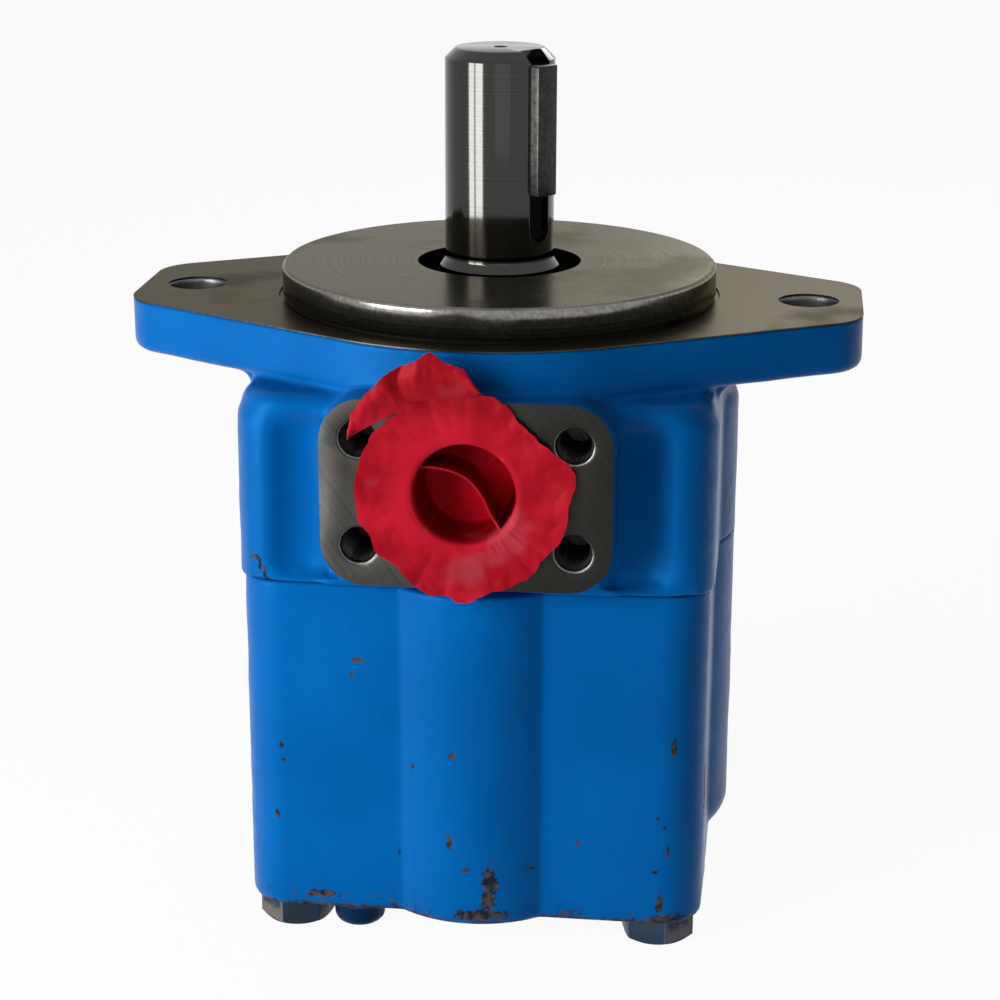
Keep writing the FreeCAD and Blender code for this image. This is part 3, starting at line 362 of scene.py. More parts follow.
def enamel(name, knocks, bare_masks):
    """Blue enamel that is chipped at the knocks and leaves the masks bare."""
    recipe = new_recipe(name)
    x, y, z = recipe.place.parts()
    drift = recipe.noise(22, 2)
    fine = recipe.noise(260, 3, 0.6)
    grit = recipe.noise(1100, 2, 0.6)
    blue = recipe.mix(drift.rise(0.3, 0.7), (0.0004, 0.082, 0.29), (0.0006, 0.1, 0.345))
    blue = recipe.mix(fine.rise(0.56, 0.8) * 0.35, blue, (0.0003, 0.066, 0.24))
    wobble = (fine - 0.5) * 1.6 + (grit - 0.5) * 1.7
    chipped = ragged_spots(recipe, knocks, wobble)
    rim = x.math("ABSOLUTE").larger(y.math("ABSOLUTE")).rise(61 * mm, 63 * mm)
    rim_chips = rim * z.fall(casting_foot, -167.6 * mm) * fine.rise(0.4, 0.46)
    foot_chips = z.fall(casting_foot, -163 * mm) * fine.rise(0.57, 0.62)
    worn = recipe.outer_edges((fine - 0.5) * 0.12, 0.6, 0.615)
    speckle = grit.rise(0.74, 0.76) * drift.rise(0.55, 0.6)
    chipped = chipped.larger(rim_chips.larger(foot_chips)).larger(worn).larger(speckle)
    rust = recipe.noise(480, 3)
    iron = recipe.mix(rust.rise(0.4, 0.65), (0.010, 0.011, 0.014), (0.062, 0.05, 0.043))
    colour = recipe.mix(chipped, blue, iron)
    # Painted shade: everything below the cover's foot, such as the boss beside a screw head, is painted a
    # dark navy.
    painted_shade_under = z.fall(-171.0 * mm, -170.4 * mm)
    colour = recipe.mix(painted_shade_under, colour, (0.0015, 0.013, 0.036))
    rough = recipe.blend(chipped, 0.27 + fine * 0.14, 0.62)
    bare = None
    for inside in bare_masks(recipe):
        bare = bare.larger(inside) if bare else inside
    steel = recipe.mix(fine, (0.1, 0.095, 0.09), (0.2, 0.195, 0.185))
    colour = recipe.mix(bare, colour, steel)
    rough = recipe.blend(bare, rough, 0.4)
    skin = recipe.noise(90, 3, 0.5) * 2.2 + fine * 0.4 + grit * 0.07 - chipped * 0.5
    normal = recipe.bump(skin, 0.22 * mm, 0.55)
    return recipe.surface(Base_Color=colour, Roughness=rough, Metallic=bare, Normal=normal,
                          Specular_IOR_Level=0.16, Specular_Tint=(0.02, 0.4, 1.0))


print("enamel ready")

# %% [markdown]
# Bores and taps were drilled after painting, so a round mask bares each. The knocks were read off the
# photograph.

# %% What is bare on the housing
def four_taps(centre, across, up):
    """The middles of the four tapped holes round a port, on a rectangle of that size."""
    x, y, z = centre
    return [(x + i * across / 2, y, z + j * up / 2) for i in (-1, 1) for j in (-1, 1)]


outlet_centre, inlet_centre = (0, -78.4, -39), (0, 82.0, -122)
outlet_taps = four_taps(outlet_centre, 58.72, 30.18)
inlet_taps = four_taps(inlet_centre, 77.77, 42.88)


def hole(recipe, radius, centre=(0, 0, 0), axis="z"):
    """1 inside a round hole of that radius, in millimetres."""
    return flat_radius(recipe, centre, axis).fall(radius * mm, (radius + 0.15) * mm)


def port_holes(recipe, centre, taps, bore):
    """The bare holes of a port, on its own side of the casting only."""
    y = recipe.place.parts()[1]
    near = (y * math.copysign(1, centre[1])).rise(40 * mm, 41 * mm)
    for tap in taps:
        yield hole(recipe, 6.0, tap, "y") * near
    yield hole(recipe, bore, centre, "y") * near


def housing_holes(recipe):
    z = recipe.place.parts()[2]
    yield from port_holes(recipe, outlet_centre, outlet_taps, 16.3)
    seal_bore, pilot_foot, bolt_offset, bolt_hole = 46.0, 67.5, 90.5, 8.95
    yield hole(recipe, seal_bore)
    yield hole(recipe, pilot_foot) * z.rise(-3 * mm, -2.5 * mm)
    for side in (-1, 1):
        yield hole(recipe, bolt_hole, (side * bolt_offset, 0, 0))


housing_knocks = [
    (-61.2, -64.5, -63.0, 1.9, 3, 0.8), (-59.6, -65, -64.8, 0.55, 3, 1.8),
    (-58.4, -65.5, -67.5, 0.55, 3, 1.8), (-57.6, -66, -69.3, 1.0, 3, 0.8), (93, -20, -3, 2.2, 3, 1.6),
]
housing_enamel = enamel("housing_enamel", housing_knocks, housing_holes)
print("enamel made for the housing")

# %% [markdown]
# ## Machined and ground steel
#
# The flange's face, the pilot and the pad round the outlet were cut bare after casting. A lathe leaves fine
# rings about the shaft's axis, a milling cutter leaves long sweeps, and a grinder leaves scratches across
# its work. One noise of one dimension, fed with the distance from the axis, draws the rings: no texture
# could follow them as exactly. Oil and fingers add dull brown patches.

# %% Bare metals
def bare_metal(name, dark, light, roughness, grain, grain_pitch, grain_depth, stain=0.0, dim_below=None,
               edge=(1.0, 1.0, 1.0), painted_shade_right=0.0):
    """Steel, iron or bronze whose grain is a noise along one measure: rings, turns or straight strokes.

    Below the height dim_below, in millimetres, the metal is duller and darker, and above it the pilot's wall
    is painted a lighter grey, a painted reflection of the lamps. The edge colour is what it turns to at a
    grazing angle, and the right half may be painted darker, as painted shade.
    """
    recipe = new_recipe(name)
    x, _, z = recipe.place.parts()
    broad = recipe.noise(30, 3)
    fine = recipe.noise(700, 3, 0.65)
    if grain == "cast":
        cut = fine
    else:
        if grain == "rings":
            measure = flat_radius(recipe)
        elif grain == "turns":
            measure = z
        else:
            measure = x * 0.8 + z * 0.55
        sizes = {"Detail": 4, "Roughness": 0.7, "Scale": 1 / (grain_pitch * mm)}
        line = recipe.node("TexNoise", {"noise_dimensions": "1D"}, {"W": measure, **sizes}, "Fac")
        cut = line * 0.75 + fine * 0.25
    colour = recipe.mix(cut.rise(0.3, 0.72), dark, light)
    dull = broad.rise(0.5, 0.72) * stain
    colour = recipe.mix(dull, colour, (dark[0] * 0.55, dark[1] * 0.5, dark[2] * 0.42))
    rough = (roughness - 0.06) + cut * 0.12 + dull * 0.2
    if dim_below is not None:
        low = z.fall(dim_below * mm, (dim_below + 0.3) * mm)
        settings = {"data_type": "RGBA", "blend_type": "MULTIPLY"}
        colour = recipe.node("Mix", settings, {0: low, 6: colour, 7: (0.5, 0.48, 0.43)}, 2)
        # Painted reflection: the pilot's wall above dim_below is painted a lighter grey than the metal's own.
        wall = flat_radius(recipe).rise(pilot_wall - 0.1 * mm, pilot_wall + 0.1 * mm) * (1 - low)
        painted_wall_sheen = recipe.mix(fine.rise(0.35, 0.7), (0.17, 0.165, 0.152), (0.27, 0.262, 0.242))
        colour = recipe.mix(wall, colour, painted_wall_sheen)
        rough = rough + low * 0.08 - wall * 0.04
    # Painted shade: the right half is painted darker.
    if painted_shade_right:
        right_shade = (x + (broad - 0.5) * 30 * mm).rise(-12 * mm, 22 * mm) * painted_shade_right
        colour = recipe.mix(right_shade, colour, (dark[0] * 0.35, dark[1] * 0.35, dark[2] * 0.33))
    normal = recipe.bump(cut, grain_depth * mm, 0.6)
    return recipe.surface(Base_Color=colour, Roughness=rough, Metallic=1.0, Normal=normal, Specular_Tint=edge)


pilot_wall = 63 * mm
print("recipe for bare metal ready")

# %% [markdown]
# Each metal is then one call: two colours, how rough it is, and the pitch and depth of its grain in
# millimetres.

# %% The metals
turned_face = bare_metal("turned_face", (0.068, 0.065, 0.056), (0.155, 0.151, 0.136), 0.25, "rings", 0.9,
                         0.035, stain=0.6, dim_below=1.0, edge=(0.62, 0.6, 0.54))
# The outlet pad's right half is painted darker, as painted shade.
milled_pad = bare_metal("milled_pad", (0.046, 0.045, 0.042), (0.07, 0.068, 0.063), 0.36, "strokes", 1.1,
                        0.012, stain=0.9, painted_shade_right=0.8)
ground_shaft = bare_metal("ground_shaft", (0.04, 0.04, 0.039), (0.056, 0.055, 0.053), 0.1, "turns", 0.5,
                          0.0005, stain=0.1)
key_steel = bare_metal("key_steel", (0.022, 0.022, 0.021), (0.04, 0.039, 0.037), 0.24, "cast", 1, 0.006,
                       stain=0.3)
hard_steel = bare_metal("hard_steel", (0.3, 0.3, 0.3), (0.45, 0.45, 0.45), 0.25, "rings", 0.6, 0.01)
bearing_steel = bare_metal("bearing_steel", (0.42, 0.42, 0.43), (0.58, 0.58, 0.59), 0.15, "turns", 0.7, 0.004)
pressed_steel = bare_metal("pressed_steel", (0.22, 0.22, 0.21), (0.36, 0.36, 0.35), 0.34, "rings", 0.9, 0.01,
                           stain=0.3)
spring_steel = bare_metal("spring_steel", (0.04, 0.04, 0.042), (0.1, 0.1, 0.105), 0.4, "cast", 1, 0.01)
plate_iron = bare_metal("plate_iron", (0.17, 0.17, 0.168), (0.28, 0.28, 0.275), 0.42, "rings", 0.9, 0.02)
bush_bronze = bare_metal("bush_bronze", (0.36, 0.22, 0.09), (0.52, 0.35, 0.16), 0.32, "turns", 0.6, 0.01)
print("bare metals made:", len(bpy.data.materials))

# %% [markdown]
# ## Rubber and plastics
#
# The shaft seal's lip and the rings inside are black rubber with a faint bloom, and the back-up ring is
# white plastic. They are not metals, so their light comes from a broad soft sheen over a dark base. One
# recipe with two colours and a grain serves them all.

# %% Soft materials
def moulded(name, dark, light, roughness, grain):
    recipe = new_recipe(name)
    bloom = recipe.noise(60, 3)
    fine = recipe.noise(grain, 3, 0.6)
    colour = recipe.mix(bloom.rise(0.35, 0.7) * 0.7 + fine * 0.3, dark, light)
    normal = recipe.bump(fine, 0.03 * mm, 0.5)
    return recipe.surface(Base_Color=colour, Roughness=roughness - 0.05 + fine * 0.12, Normal=normal)


seal_rubber = moulded("seal_rubber", (0.012, 0.012, 0.013), (0.03, 0.029, 0.028), 0.55, 1500)
backup_plastic = moulded("backup_plastic", (0.62, 0.61, 0.57), (0.74, 0.73, 0.69), 0.42, 900)
print("soft materials made")

# %% [markdown]
# ## Helpers for making pieces
#
# Every piece ends as a plain mesh that rides on a body of the frame. Modifiers are handy while a piece takes
# shape, but a finished mesh is easier to measure and to hand on, so one helper bakes them in. Another joins
# the loose corners of a copied solid, because a file of triangles keeps a corner once for every face.

# %% Make, bake and place a piece
def new_piece(name, mesh, material):
    mesh.materials.clear()
    mesh.materials.append(material)
    return new_object(name, mesh)


def copy_of(node, name, material):
    """A piece that starts with the shape of one of the frame's solids, its corners joined."""
    mesh = frame["nodes"][node].data.copy()
    mesh.name = name
    form = bmesh.new()
    form.from_mesh(mesh)
    bmesh.ops.remove_doubles(form, verts=form.verts, dist=0.0005 * mm)
    form.to_mesh(mesh)
    form.free()
    return new_piece(name, mesh, material)


def bake(piece):
    """Swaps the piece's mesh for what its modifiers make of it."""
    graph = bpy.context.evaluated_depsgraph_get()
    mesh = bpy.data.meshes.new_from_object(piece.evaluated_get(graph))
    old = piece.data
    piece.modifiers.clear()
    piece.data = mesh
    mesh.name = old.name
    bpy.data.meshes.remove(old)
    return piece


def block(low, high):
    """A plain box, in millimetres, to cut other pieces with."""
    mesh = bpy.data.meshes.new("cutter")
    form = bmesh.new()
    bmesh.ops.create_cube(form, size=1)
    for vert in form.verts:
        vert.co = Vector([(a + b) / 2 * mm + c * (b - a) * mm for a, b, c in zip(low, high, vert.co)])
    form.to_mesh(mesh)
    form.free()
    return new_object("cutter", mesh)


def carve(piece, cutter, operation):
    """Boolean of the piece with a cutter, which is thrown away."""
    step = piece.modifiers.new("carve", "BOOLEAN")
    step.operation = operation
    step.solver = "EXACT"
    step.object = cutter
    bake(piece)
    bpy.data.objects.remove(cutter)
    return piece


print("helpers ready")

# %% [markdown]
# ## The front housing
#
# The housing is one iron casting: a two-bolt flange on a square block with two hollows beside the outlet
# pad. Its paint is thick, so no painted edge is sharp. The frame already has the right forms, so the piece
# starts as a copy of that solid and is remelted into small cubes, the way a sculptor would: all edges go
# soft at once, which no bevel could do where so many forms run into each other. The machined faces have to
# stay crisp, so they are cut off first and come back as pieces of their own.

# %% The housing's rough skin
def round_off(piece):
    """Remelts the surface in small cubes and relaxes it, which rounds every edge a little."""
    melt = piece.modifiers.new("melt", "REMESH")
    melt.mode = "VOXEL"
    melt.voxel_size = 0.8 * mm
    melt.use_smooth_shade = True
    relax = piece.modifiers.new("relax", "SMOOTH")
    relax.factor = 0.5
    relax.iterations = 3
    bake(piece)


machined_depth = 0.35
flange_box = (-120, -120, -machined_depth), (120, 120, 20)
outlet_box = (-45, -90, -70), (45, outlet_centre[1] + machined_depth, 5)
inlet_box = (-60, inlet_centre[1] - machined_depth, -171), (60, 95, -75)

housing = copy_of("front_housing", "housing_casting", housing_enamel)
carve(housing, block(*flange_box), "DIFFERENCE")
carve(housing, block(*outlet_box), "DIFFERENCE")
round_off(housing)
print("housing skin:", len(housing.data.polygons), "faces")

# %% [markdown]
# The pattern maker gave the hollows beside the pad and the shoulder under the flange a much larger fillet
# than the block's other edges. Relaxing only those parts of the skin many times gives it, with a weight
# that fades to nothing before the machined faces.

# %% Broad fillets
def between(value, low, high, fade):
    """1 from low to high, falling to 0 over the fade on both sides."""
    return max(0.0, min(1.0, (value - low) / fade + 1, (high - value) / fade + 1))


def relax_where(piece, weight, passes):
    group = piece.vertex_groups.new(name="relaxed")
    for vert in piece.data.vertices:
        share = weight(vert.co / mm)
        if share > 0:
            group.add([vert.index], share, "REPLACE")
    relax = piece.modifiers.new("fillet", "SMOOTH")
    relax.factor = 0.5
    relax.iterations = passes
    relax.vertex_group = group.name
    bake(piece)
    piece.vertex_groups.clear()


def hollow_weight(p):
    return between(abs(p.x), 42.5, 61, 2) * between(p.y, -80, -58, 3) * between(p.z, -68.6, -22, 2)


def shoulder_weight(p):
    outside = max(abs(p.x), abs(p.y)) > 57
    return outside * between(p.z, -25, -17.5, 3) * (p.y > -66 or abs(p.x) > 43)


relax_where(housing, hollow_weight, 140)
relax_where(housing, shoulder_weight, 24)
print("fillets made")

# %% [markdown]
# A real mould is never quite true. Each point of the skin moves a little along its normal by a slow noise,
# which bends the reflections as they bend on cast iron. The faces that carry other pieces are kept flat.

# %% The unevenness of a casting
def uneven(piece, depth, size, keep_flat):
    """Moves the skin in or out by a slow noise, except where keep_flat says otherwise."""
    mesh = piece.data
    normals = [vert.normal.copy() for vert in mesh.vertices]
    for vert, normal in zip(mesh.vertices, normals):
        if keep_flat(vert.co / mm):
            continue
        wave = noise.noise(vert.co / (size * mm)) + 0.4 * noise.noise(vert.co / (size * 0.37 * mm))
        vert.co += normal * (wave * depth * mm - 0.3 * depth * mm)
    mesh.update()


def housing_fits(p):
    inner = math.hypot(p.x, p.y) < 59 and p.z > -69
    return inner or p.z > -2 or p.z < -69.2 or p.y < -77.5


uneven(housing, 0.16, 14, housing_fits)
# The groove round the foot of the pilot is finer than this skin can follow, so the skin sinks below it.
groove_inner, groove_outer, groove_reach, groove_sink = 62.2, 66.6, 1.3, 1.6
for vert in housing.data.vertices:
    p = vert.co / mm
    if groove_inner < math.hypot(p.x, p.y) < groove_outer and abs(p.z) < groove_reach:
        vert.co.z -= groove_sink * mm
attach(housing, "pump_body")
print("housing box", [round(d / mm, 1) for d in housing.dimensions])

# %% [markdown]
# ## The machined faces
#
# The top of the flange with its pilot is turned on a lathe, and the pad round the outlet is milled. Both are
# thin crisp shells, cut from the same solid, so their holes meet those of the skin. Sharp edges are marked by
# angle: the round walls shade smoothly and the rims stay crisp.

# %% Flange face, pilot and outlet pad
def crisp(piece, degrees=30):
    """Smooth shading that still breaks at real edges."""
    piece.data.shade_smooth()
    piece.data.set_sharp_from_angle(angle=math.radians(degrees))
    return piece


def bevelled(piece, width, steps=2):
    """Breaks the sharp edges, as a file does."""
    edge = piece.modifiers.new("broken_edges", "BEVEL")
    edge.width = width * mm
    edge.segments = steps
    edge.limit_method = "ANGLE"
    edge.angle_limit = math.radians(30)
    return crisp(bake(piece), 40)


face = copy_of("front_housing", "machined_flange_face", turned_face)
carve(face, block(*flange_box), "INTERSECT")
crisp(face)
pad = copy_of("front_housing", "machined_outlet_pad", milled_pad)
carve(pad, block(*outlet_box), "INTERSECT")
pad_edge = 0.16
bevelled(pad, pad_edge)
for piece in (face, pad):
    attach(piece, "pump_body")
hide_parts("front_housing")
print("machined faces:", len(face.data.polygons), len(pad.data.polygons))

# %% [markdown]
# ## The rear cover
#
# The cover is a deep square cup with a broad rounded swelling on the front and on both sides, and the inlet
# pad at the back. It is cast and painted like the housing, so it is made in the same way, a little rougher.

# %% What is bare on the cover
def cover_holes(recipe):
    yield from port_holes(recipe, inlet_centre, inlet_taps, 26.0)
    yield hole(recipe, 60.0)


cover_knocks = [
    (-32.2, -66, -92.3, 1.9, 2, 0.9), (-33.8, -66, -96.9, 0.7, 2, 0.8), (-54.6, -66, -119.3, 0.6, 2, 0.7),
    (-54.1, -66, -124.0, 0.7, 2, 0.7), (-16.6, -68.5, -123.0, 0.6, 2, 0.9),
    (-4.4, -72.7, -117.5, 0.9, 2, 0.9), (-56.3, -66, -141.0, 0.8, 2, 1.2),
    (-55.0, -66, -150.0, 0.6, 2, 0.6), (-5.4, -72.5, -144.0, 0.8, 2, 2.0),
    (-20.8, -66.2, -151.0, 0.4, 2, 1.0), (-0.8, -73, -152.3, 1.1, 2, 0.7),
    (6.2, -72.6, -158.5, 2.3, 3, 6.8), (4.0, -72.6, -166.5, 8.0, 5, 1.6),
    (17.2, -68.3, -153.2, 1.4, 2, 0.5), (30.9, -66.2, -145.2, 0.6, 2, 1.1),
    (57.6, -66, -114.8, 1.0, 2, 2.7), (67.0, -55, -131.5, 3, 1.2, 7.0), (53.6, -66, -136.4, 0.7, 2, 0.5),
    (55.6, -66, -139.2, 0.6, 2, 0.5), (56.5, -66, -146.8, 0.4, 2, 1.5), (52.9, -66, -153.0, 0.8, 2, 0.7),
    (54.5, -66, -162.5, 1.0, 2, 3.5), (56.0, -64, -168.0, 6.0, 4, 1.4), (-44.0, -66, -165.5, 4.5, 3, 1.2),
]
cover_enamel = enamel("cover_enamel", cover_knocks, cover_holes)
print("enamel made for the cover")

# %% [markdown]
# This skin is a little more uneven than the housing's, and the inlet pad is cut crisp as before.

# %% The cover's skin
cover = copy_of("rear_cover", "cover_casting", cover_enamel)
carve(cover, block(*inlet_box), "DIFFERENCE")
round_off(cover)


def cover_fits(p):
    inner = math.hypot(p.x, p.y) < 60 and p.z > -150
    return inner or p.z > -70.6 or p.z < -169.4 or p.y > 81


uneven(cover, 0.22, 16, cover_fits)
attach(cover, "pump_body")
inlet_pad = copy_of("rear_cover", "machined_inlet_pad", milled_pad)
carve(inlet_pad, block(*inlet_box), "INTERSECT")
bevelled(inlet_pad, pad_edge)
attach(inlet_pad, "pump_body")
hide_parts("rear_cover")
print("cover skin:", len(cover.data.polygons), "faces")

# %% [markdown]
# ## The drive shaft
#
# The end of the shaft is turned and ground, so it is round to a hair and shows long clean reflections. Spun
# from a profile of radius and height, it gets far more sides than the solid has. The same helper first makes
# a narrow ring: the bare floor of the groove at the pilot's foot, which the thin face skin leaves open.

# %% Spin a profile
def lathe(name, profile, material, sides=160):
    """A closed turned piece from (radius, height) pairs in millimetres, bottom to top."""
    mesh = bpy.data.meshes.new(name)
    form = bmesh.new()
    rings = []
    turns = [math.tau * i / sides for i in range(sides)]
    for radius, height in profile:
        ring = [(radius * math.cos(t) * mm, radius * math.sin(t) * mm, height * mm) for t in turns]
        rings.append([form.verts.new(corner) for corner in (ring if radius else ring[:1])])
    if len(rings[0]) > 1 and len(rings[-1]) > 1:
        rings.append(rings[0])
    for low, high in zip(rings, rings[1:]):
        for i in range(sides):
            j = (i + 1) % sides
            corners = [low[i % len(low)], low[j % len(low)], high[j % len(high)], high[i % len(high)]]
            form.faces.new(dict.fromkeys(corners))
    bmesh.ops.recalc_face_normals(form, faces=form.faces)
    form.to_mesh(mesh)
    form.free()
    return crisp(new_piece(name, mesh, material))


floor_profile = [(62.6, -0.8), (65.0, -0.8), (65.0, -0.6), (62.6, -0.6)]
groove_floor = lathe("pilot_groove_floor", floor_profile, turned_face)
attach(groove_floor, "pump_body")
print("groove floor:", len(groove_floor.data.polygons), "faces")

# %% [markdown]
# The small steps in the shaft's profile are the broken edges that catch the light. The keyway is cut as in
# the workshop, by a tool's path. Inside the pump the solid's own shaft goes on, with shoulders and spline.

# %% The shaft and its keyway
def solid_between(name, first, second):
    """The mesh of a closed solid between two loops of corners, in millimetres."""
    mesh = bpy.data.meshes.new(name)
    form = bmesh.new()
    ends = [[form.verts.new([c * mm for c in corner]) for corner in loop] for loop in (first, second)]
    for end in ends:
        form.faces.new(end)
    for i in range(len(first)):
        j = (i + 1) % len(first)
        form.faces.new([ends[0][i], ends[0][j], ends[1][j], ends[1][i]])
    bmesh.ops.recalc_face_normals(form, faces=form.faces)
    form.to_mesh(mesh)
    form.free()
    return mesh


shaft_foot = -4.0
shaft_profile = [
    (0, shaft_foot), (17.45, shaft_foot), (17.5, 8.7), (17.2, 9.05), (15.95, 10.9), (15.83, 11.3),
    (15.83, 12.4), (15.875, 12.6), (15.875, 68.2), (15.8, 68.6), (13.0, 71.35), (12.6, 71.5),
    (2.2, 71.5), (1.5, 70.8), (1.5, 66.0), (0, 65.1),
]
shaft_end = lathe("shaft_end", shaft_profile, ground_shaft)
key_turn = Matrix.Rotation(math.radians(54), 4, "Z")
key_width, key_floor, keyway_foot, cutter_reach = 7.94, 10.66, 17.0, 20


def keyway_cutter():
    """The path of the cutter that milled the keyway: open at the top and round at its foot."""
    half, middle = key_width / 2 + 0.03, keyway_foot + key_width / 2
    outline = [(half, 80), (-half, 80)]
    for i in range(25):
        turn = math.pi + math.pi * i / 24
        outline.append((half * math.cos(turn), middle + half * math.sin(turn)))
    floor, outside = ([(x, y, z) for x, z in outline] for y in (-key_floor, -cutter_reach))
    mesh = solid_between("cutter", floor, outside)
    mesh.transform(key_turn)
    return new_object("cutter", mesh)


carve(shaft_end, keyway_cutter(), "DIFFERENCE")
crisp(shaft_end)
shaft_inside = copy_of("drive_shaft", "shaft_inside", ground_shaft)
carve(shaft_inside, block((-30, -30, shaft_foot), (30, 30, 90)), "DIFFERENCE")
crisp(shaft_inside)
for piece in (shaft_end, shaft_inside):
    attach(piece, "shaft")
    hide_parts("drive_shaft")
print("shaft end:", len(shaft_end.data.polygons), "faces")

# %% [markdown]
# ## The key
#
# A square bar of drawn steel sits in the keyway and stands proud of the shaft. Its edges were broken with a
# file, so a small bevel in three steps is the whole secret: without it the bar would look like a drawing.

# %% The square key
key_foot, key_top = 30.6, 67.8
key = block((-key_width / 2, -key_floor - key_width, key_foot), (key_width / 2, -key_floor, key_top))
key.name = key.data.name = "drive_key"
key.data.transform(key_turn)
key.data.materials.append(key_steel)
bevelled(key, 0.5, 3)
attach(key, "shaft")
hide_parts("shaft_key")
print("key box", [round(d / mm, 1) for d in key.dimensions])

# %% [markdown]
# ## The shaft seal
#
# Down in the bore round the shaft sits a pressed steel ring with a black rubber lip. Only its face is seen,
# as a dark step. The steel's bent edge and the lip's wiping edge are turned profiles as well.

# %% Seal case and lip
case_profile = [
    (22.7, -13), (23.87, -13), (23.87, -3.5), (23.6, -3.1), (23.2, -3), (20.9, -3), (20.4, -3.3),
    (20.3, -4.15), (22.7, -4.2),
]
lip_profile = [
    (17.56, -8.8), (18.9, -10.2), (20.3, -5.6), (22.65, -5.6), (22.65, -4.2), (20.28, -4.2), (20.2, -3.3),
    (19.4, -3.1), (18.1, -3.9), (17.56, -4.9), (18.5, -6.4),
]
seal_case = lathe("seal_ring", case_profile, pressed_steel)
seal_lip = lathe("seal_wiper", lip_profile, seal_rubber)
for piece, node, slot in ((seal_case, "seal_case", "pressed_steel"), (seal_lip, "seal_lip", "seal_rubber")):
    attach(piece, "pump_body")
    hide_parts(node)
print("seal faces:", len(seal_case.data.polygons) + len(seal_lip.data.polygons))

# %% [markdown]
# ## Tapped holes
#
# Four threaded holes round the outlet take the port flange's bolts. A thread is a ridge that climbs by one
# pitch each turn. A tube whose radius follows the fraction of a turn at each point makes one without any
# boolean, and its first turn fades out at the mouth as a real one does.

# %% Cut the four threads
def piece_from(name, corners, faces, material):
    """A piece from corners in metres and the faces between them."""
    mesh = bpy.data.meshes.new(name)
    mesh.from_pydata(corners, [], faces)
    return new_piece(name, mesh, material)


def grid_faces(rows, count, closed=False):
    """The four-sided faces between rows of corners, each row that many corners long."""
    faces = []
    for row in range(rows):
        for i in range(count if closed else count - 1):
            a, b = row * count + i, row * count + (i + 1) % count
            faces.append((a, b, b + count, a + count))
    return faces


def thread(name, centre, radius, ridge, pitch, depth, material, sides=40, rows_per_turn=8):
    """A tapped hole's wall, in millimetres, that runs in along +Y and is closed at its end."""
    rows = int(depth / pitch * rows_per_turn)
    corners = []
    for row in range(rows + 1):
        inward = depth * row / rows
        for side in range(sides):
            share = side / sides
            climb = (inward / pitch - share) % 1
            r = radius - ridge * (1 - abs(2 * climb - 1)) * min(1, inward / pitch / 1.5)
            turn = math.tau * share
            offset = (r * math.cos(turn), inward, r * math.sin(turn))
            corners.append([(middle + o) * mm for middle, o in zip(centre, offset)])
    faces = grid_faces(rows, sides, closed=True) + [tuple(rows * sides + side for side in range(sides))]
    return crisp(piece_from(name, corners, faces, material), 50)


tap_steel = bare_metal("tap_steel", (0.05, 0.052, 0.055), (0.16, 0.16, 0.16), 0.38, "strokes", 0.7, 0.01,
                       stain=0.6)
tap_radius, thread_ridge, thread_pitch, thread_depth, tap_chamfer = 4.98, 0.55, 1.6, 20.5, 0.9
for number, (x, y, z) in enumerate(outlet_taps, 1):
    tap = thread(f"outlet_thread_{number}", (x, y + tap_chamfer, z), tap_radius, thread_ridge, thread_pitch,
                 thread_depth, tap_steel)
    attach(tap, "pump_body")
print("threads cut:", len(outlet_taps))

# %% [markdown]
# ## The cover screws
#
# Four hexagon screws hold the cover, and the pump stands on their heads. A real head has its corners turned
# off, which leaves a curved line on each flat. Crossing a hexagon with a cone gives exactly that line. The
# screws were blackened first and then caught some of the blue spray.

# %% Hexagon heads
def sprayed_black():
    recipe = new_recipe("sprayed_black")
    spray = recipe.noise(55, 3)
    fine = recipe.noise(800, 3, 0.6)
    colour = recipe.mix(spray.rise(0.38, 0.62), (0.009, 0.011, 0.014), (0.002, 0.022, 0.055))
    rubbed = recipe.outer_edges((fine - 0.5) * 0.1, 0.56, 0.6) * 0.7
    colour = recipe.mix(rubbed, colour, (0.13, 0.12, 0.11))
    normal = recipe.bump(fine, 0.05 * mm, 0.5)
    return recipe.surface(Base_Color=colour, Roughness=0.42 + fine * 0.16, Metallic=0.1, Normal=normal,
                          Specular_IOR_Level=0.25)


screw_black = sprayed_black()
head_top, head_foot, across_flats, screw_offset, head_turn = -170.0, -178.0, 19.05, 53.25, 15
head_profile = [(0, head_foot), (8.9, head_foot), (9.3, head_foot + 0.12), (12.4, head_foot + 1.9),
                (12.4, head_top), (0, head_top)]
head_reach = across_flats / math.sqrt(3)
for number, (side_x, side_y) in enumerate(((-1, -1), (1, -1), (1, 1), (-1, 1)), 1):
    x, y = side_x * screw_offset, side_y * screw_offset
    start = math.radians(head_turn + (90 * number + 90) % 360)
    turns = [start + math.tau * i / 6 for i in range(6)]
    rim = [(x + head_reach * math.cos(t), y + head_reach * math.sin(t)) for t in turns]
    name = f"cover_screw_{number}"
    hexagon = solid_between(name, [(*p, head_foot) for p in rim], [(*p, head_top) for p in rim])
    head = new_piece(name, hexagon, screw_black)
    cone = lathe("cutter", head_profile, screw_black, 96)
    cone.data.transform(Matrix.Translation((x * mm, y * mm, 0)))
    carve(head, cone, "INTERSECT")
    bevelled(head, 0.25)
    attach(head, "pump_body")
    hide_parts("cover_screws")
shanks = copy_of("cover_screws", "cover_screw_shanks", screw_black)
carve(shanks, block((-90, -90, -190), (90, 90, head_top)), "DIFFERENCE")
crisp(shanks)
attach(shanks, "pump_body")
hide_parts("cover_screws")
print("screw heads and shanks made")
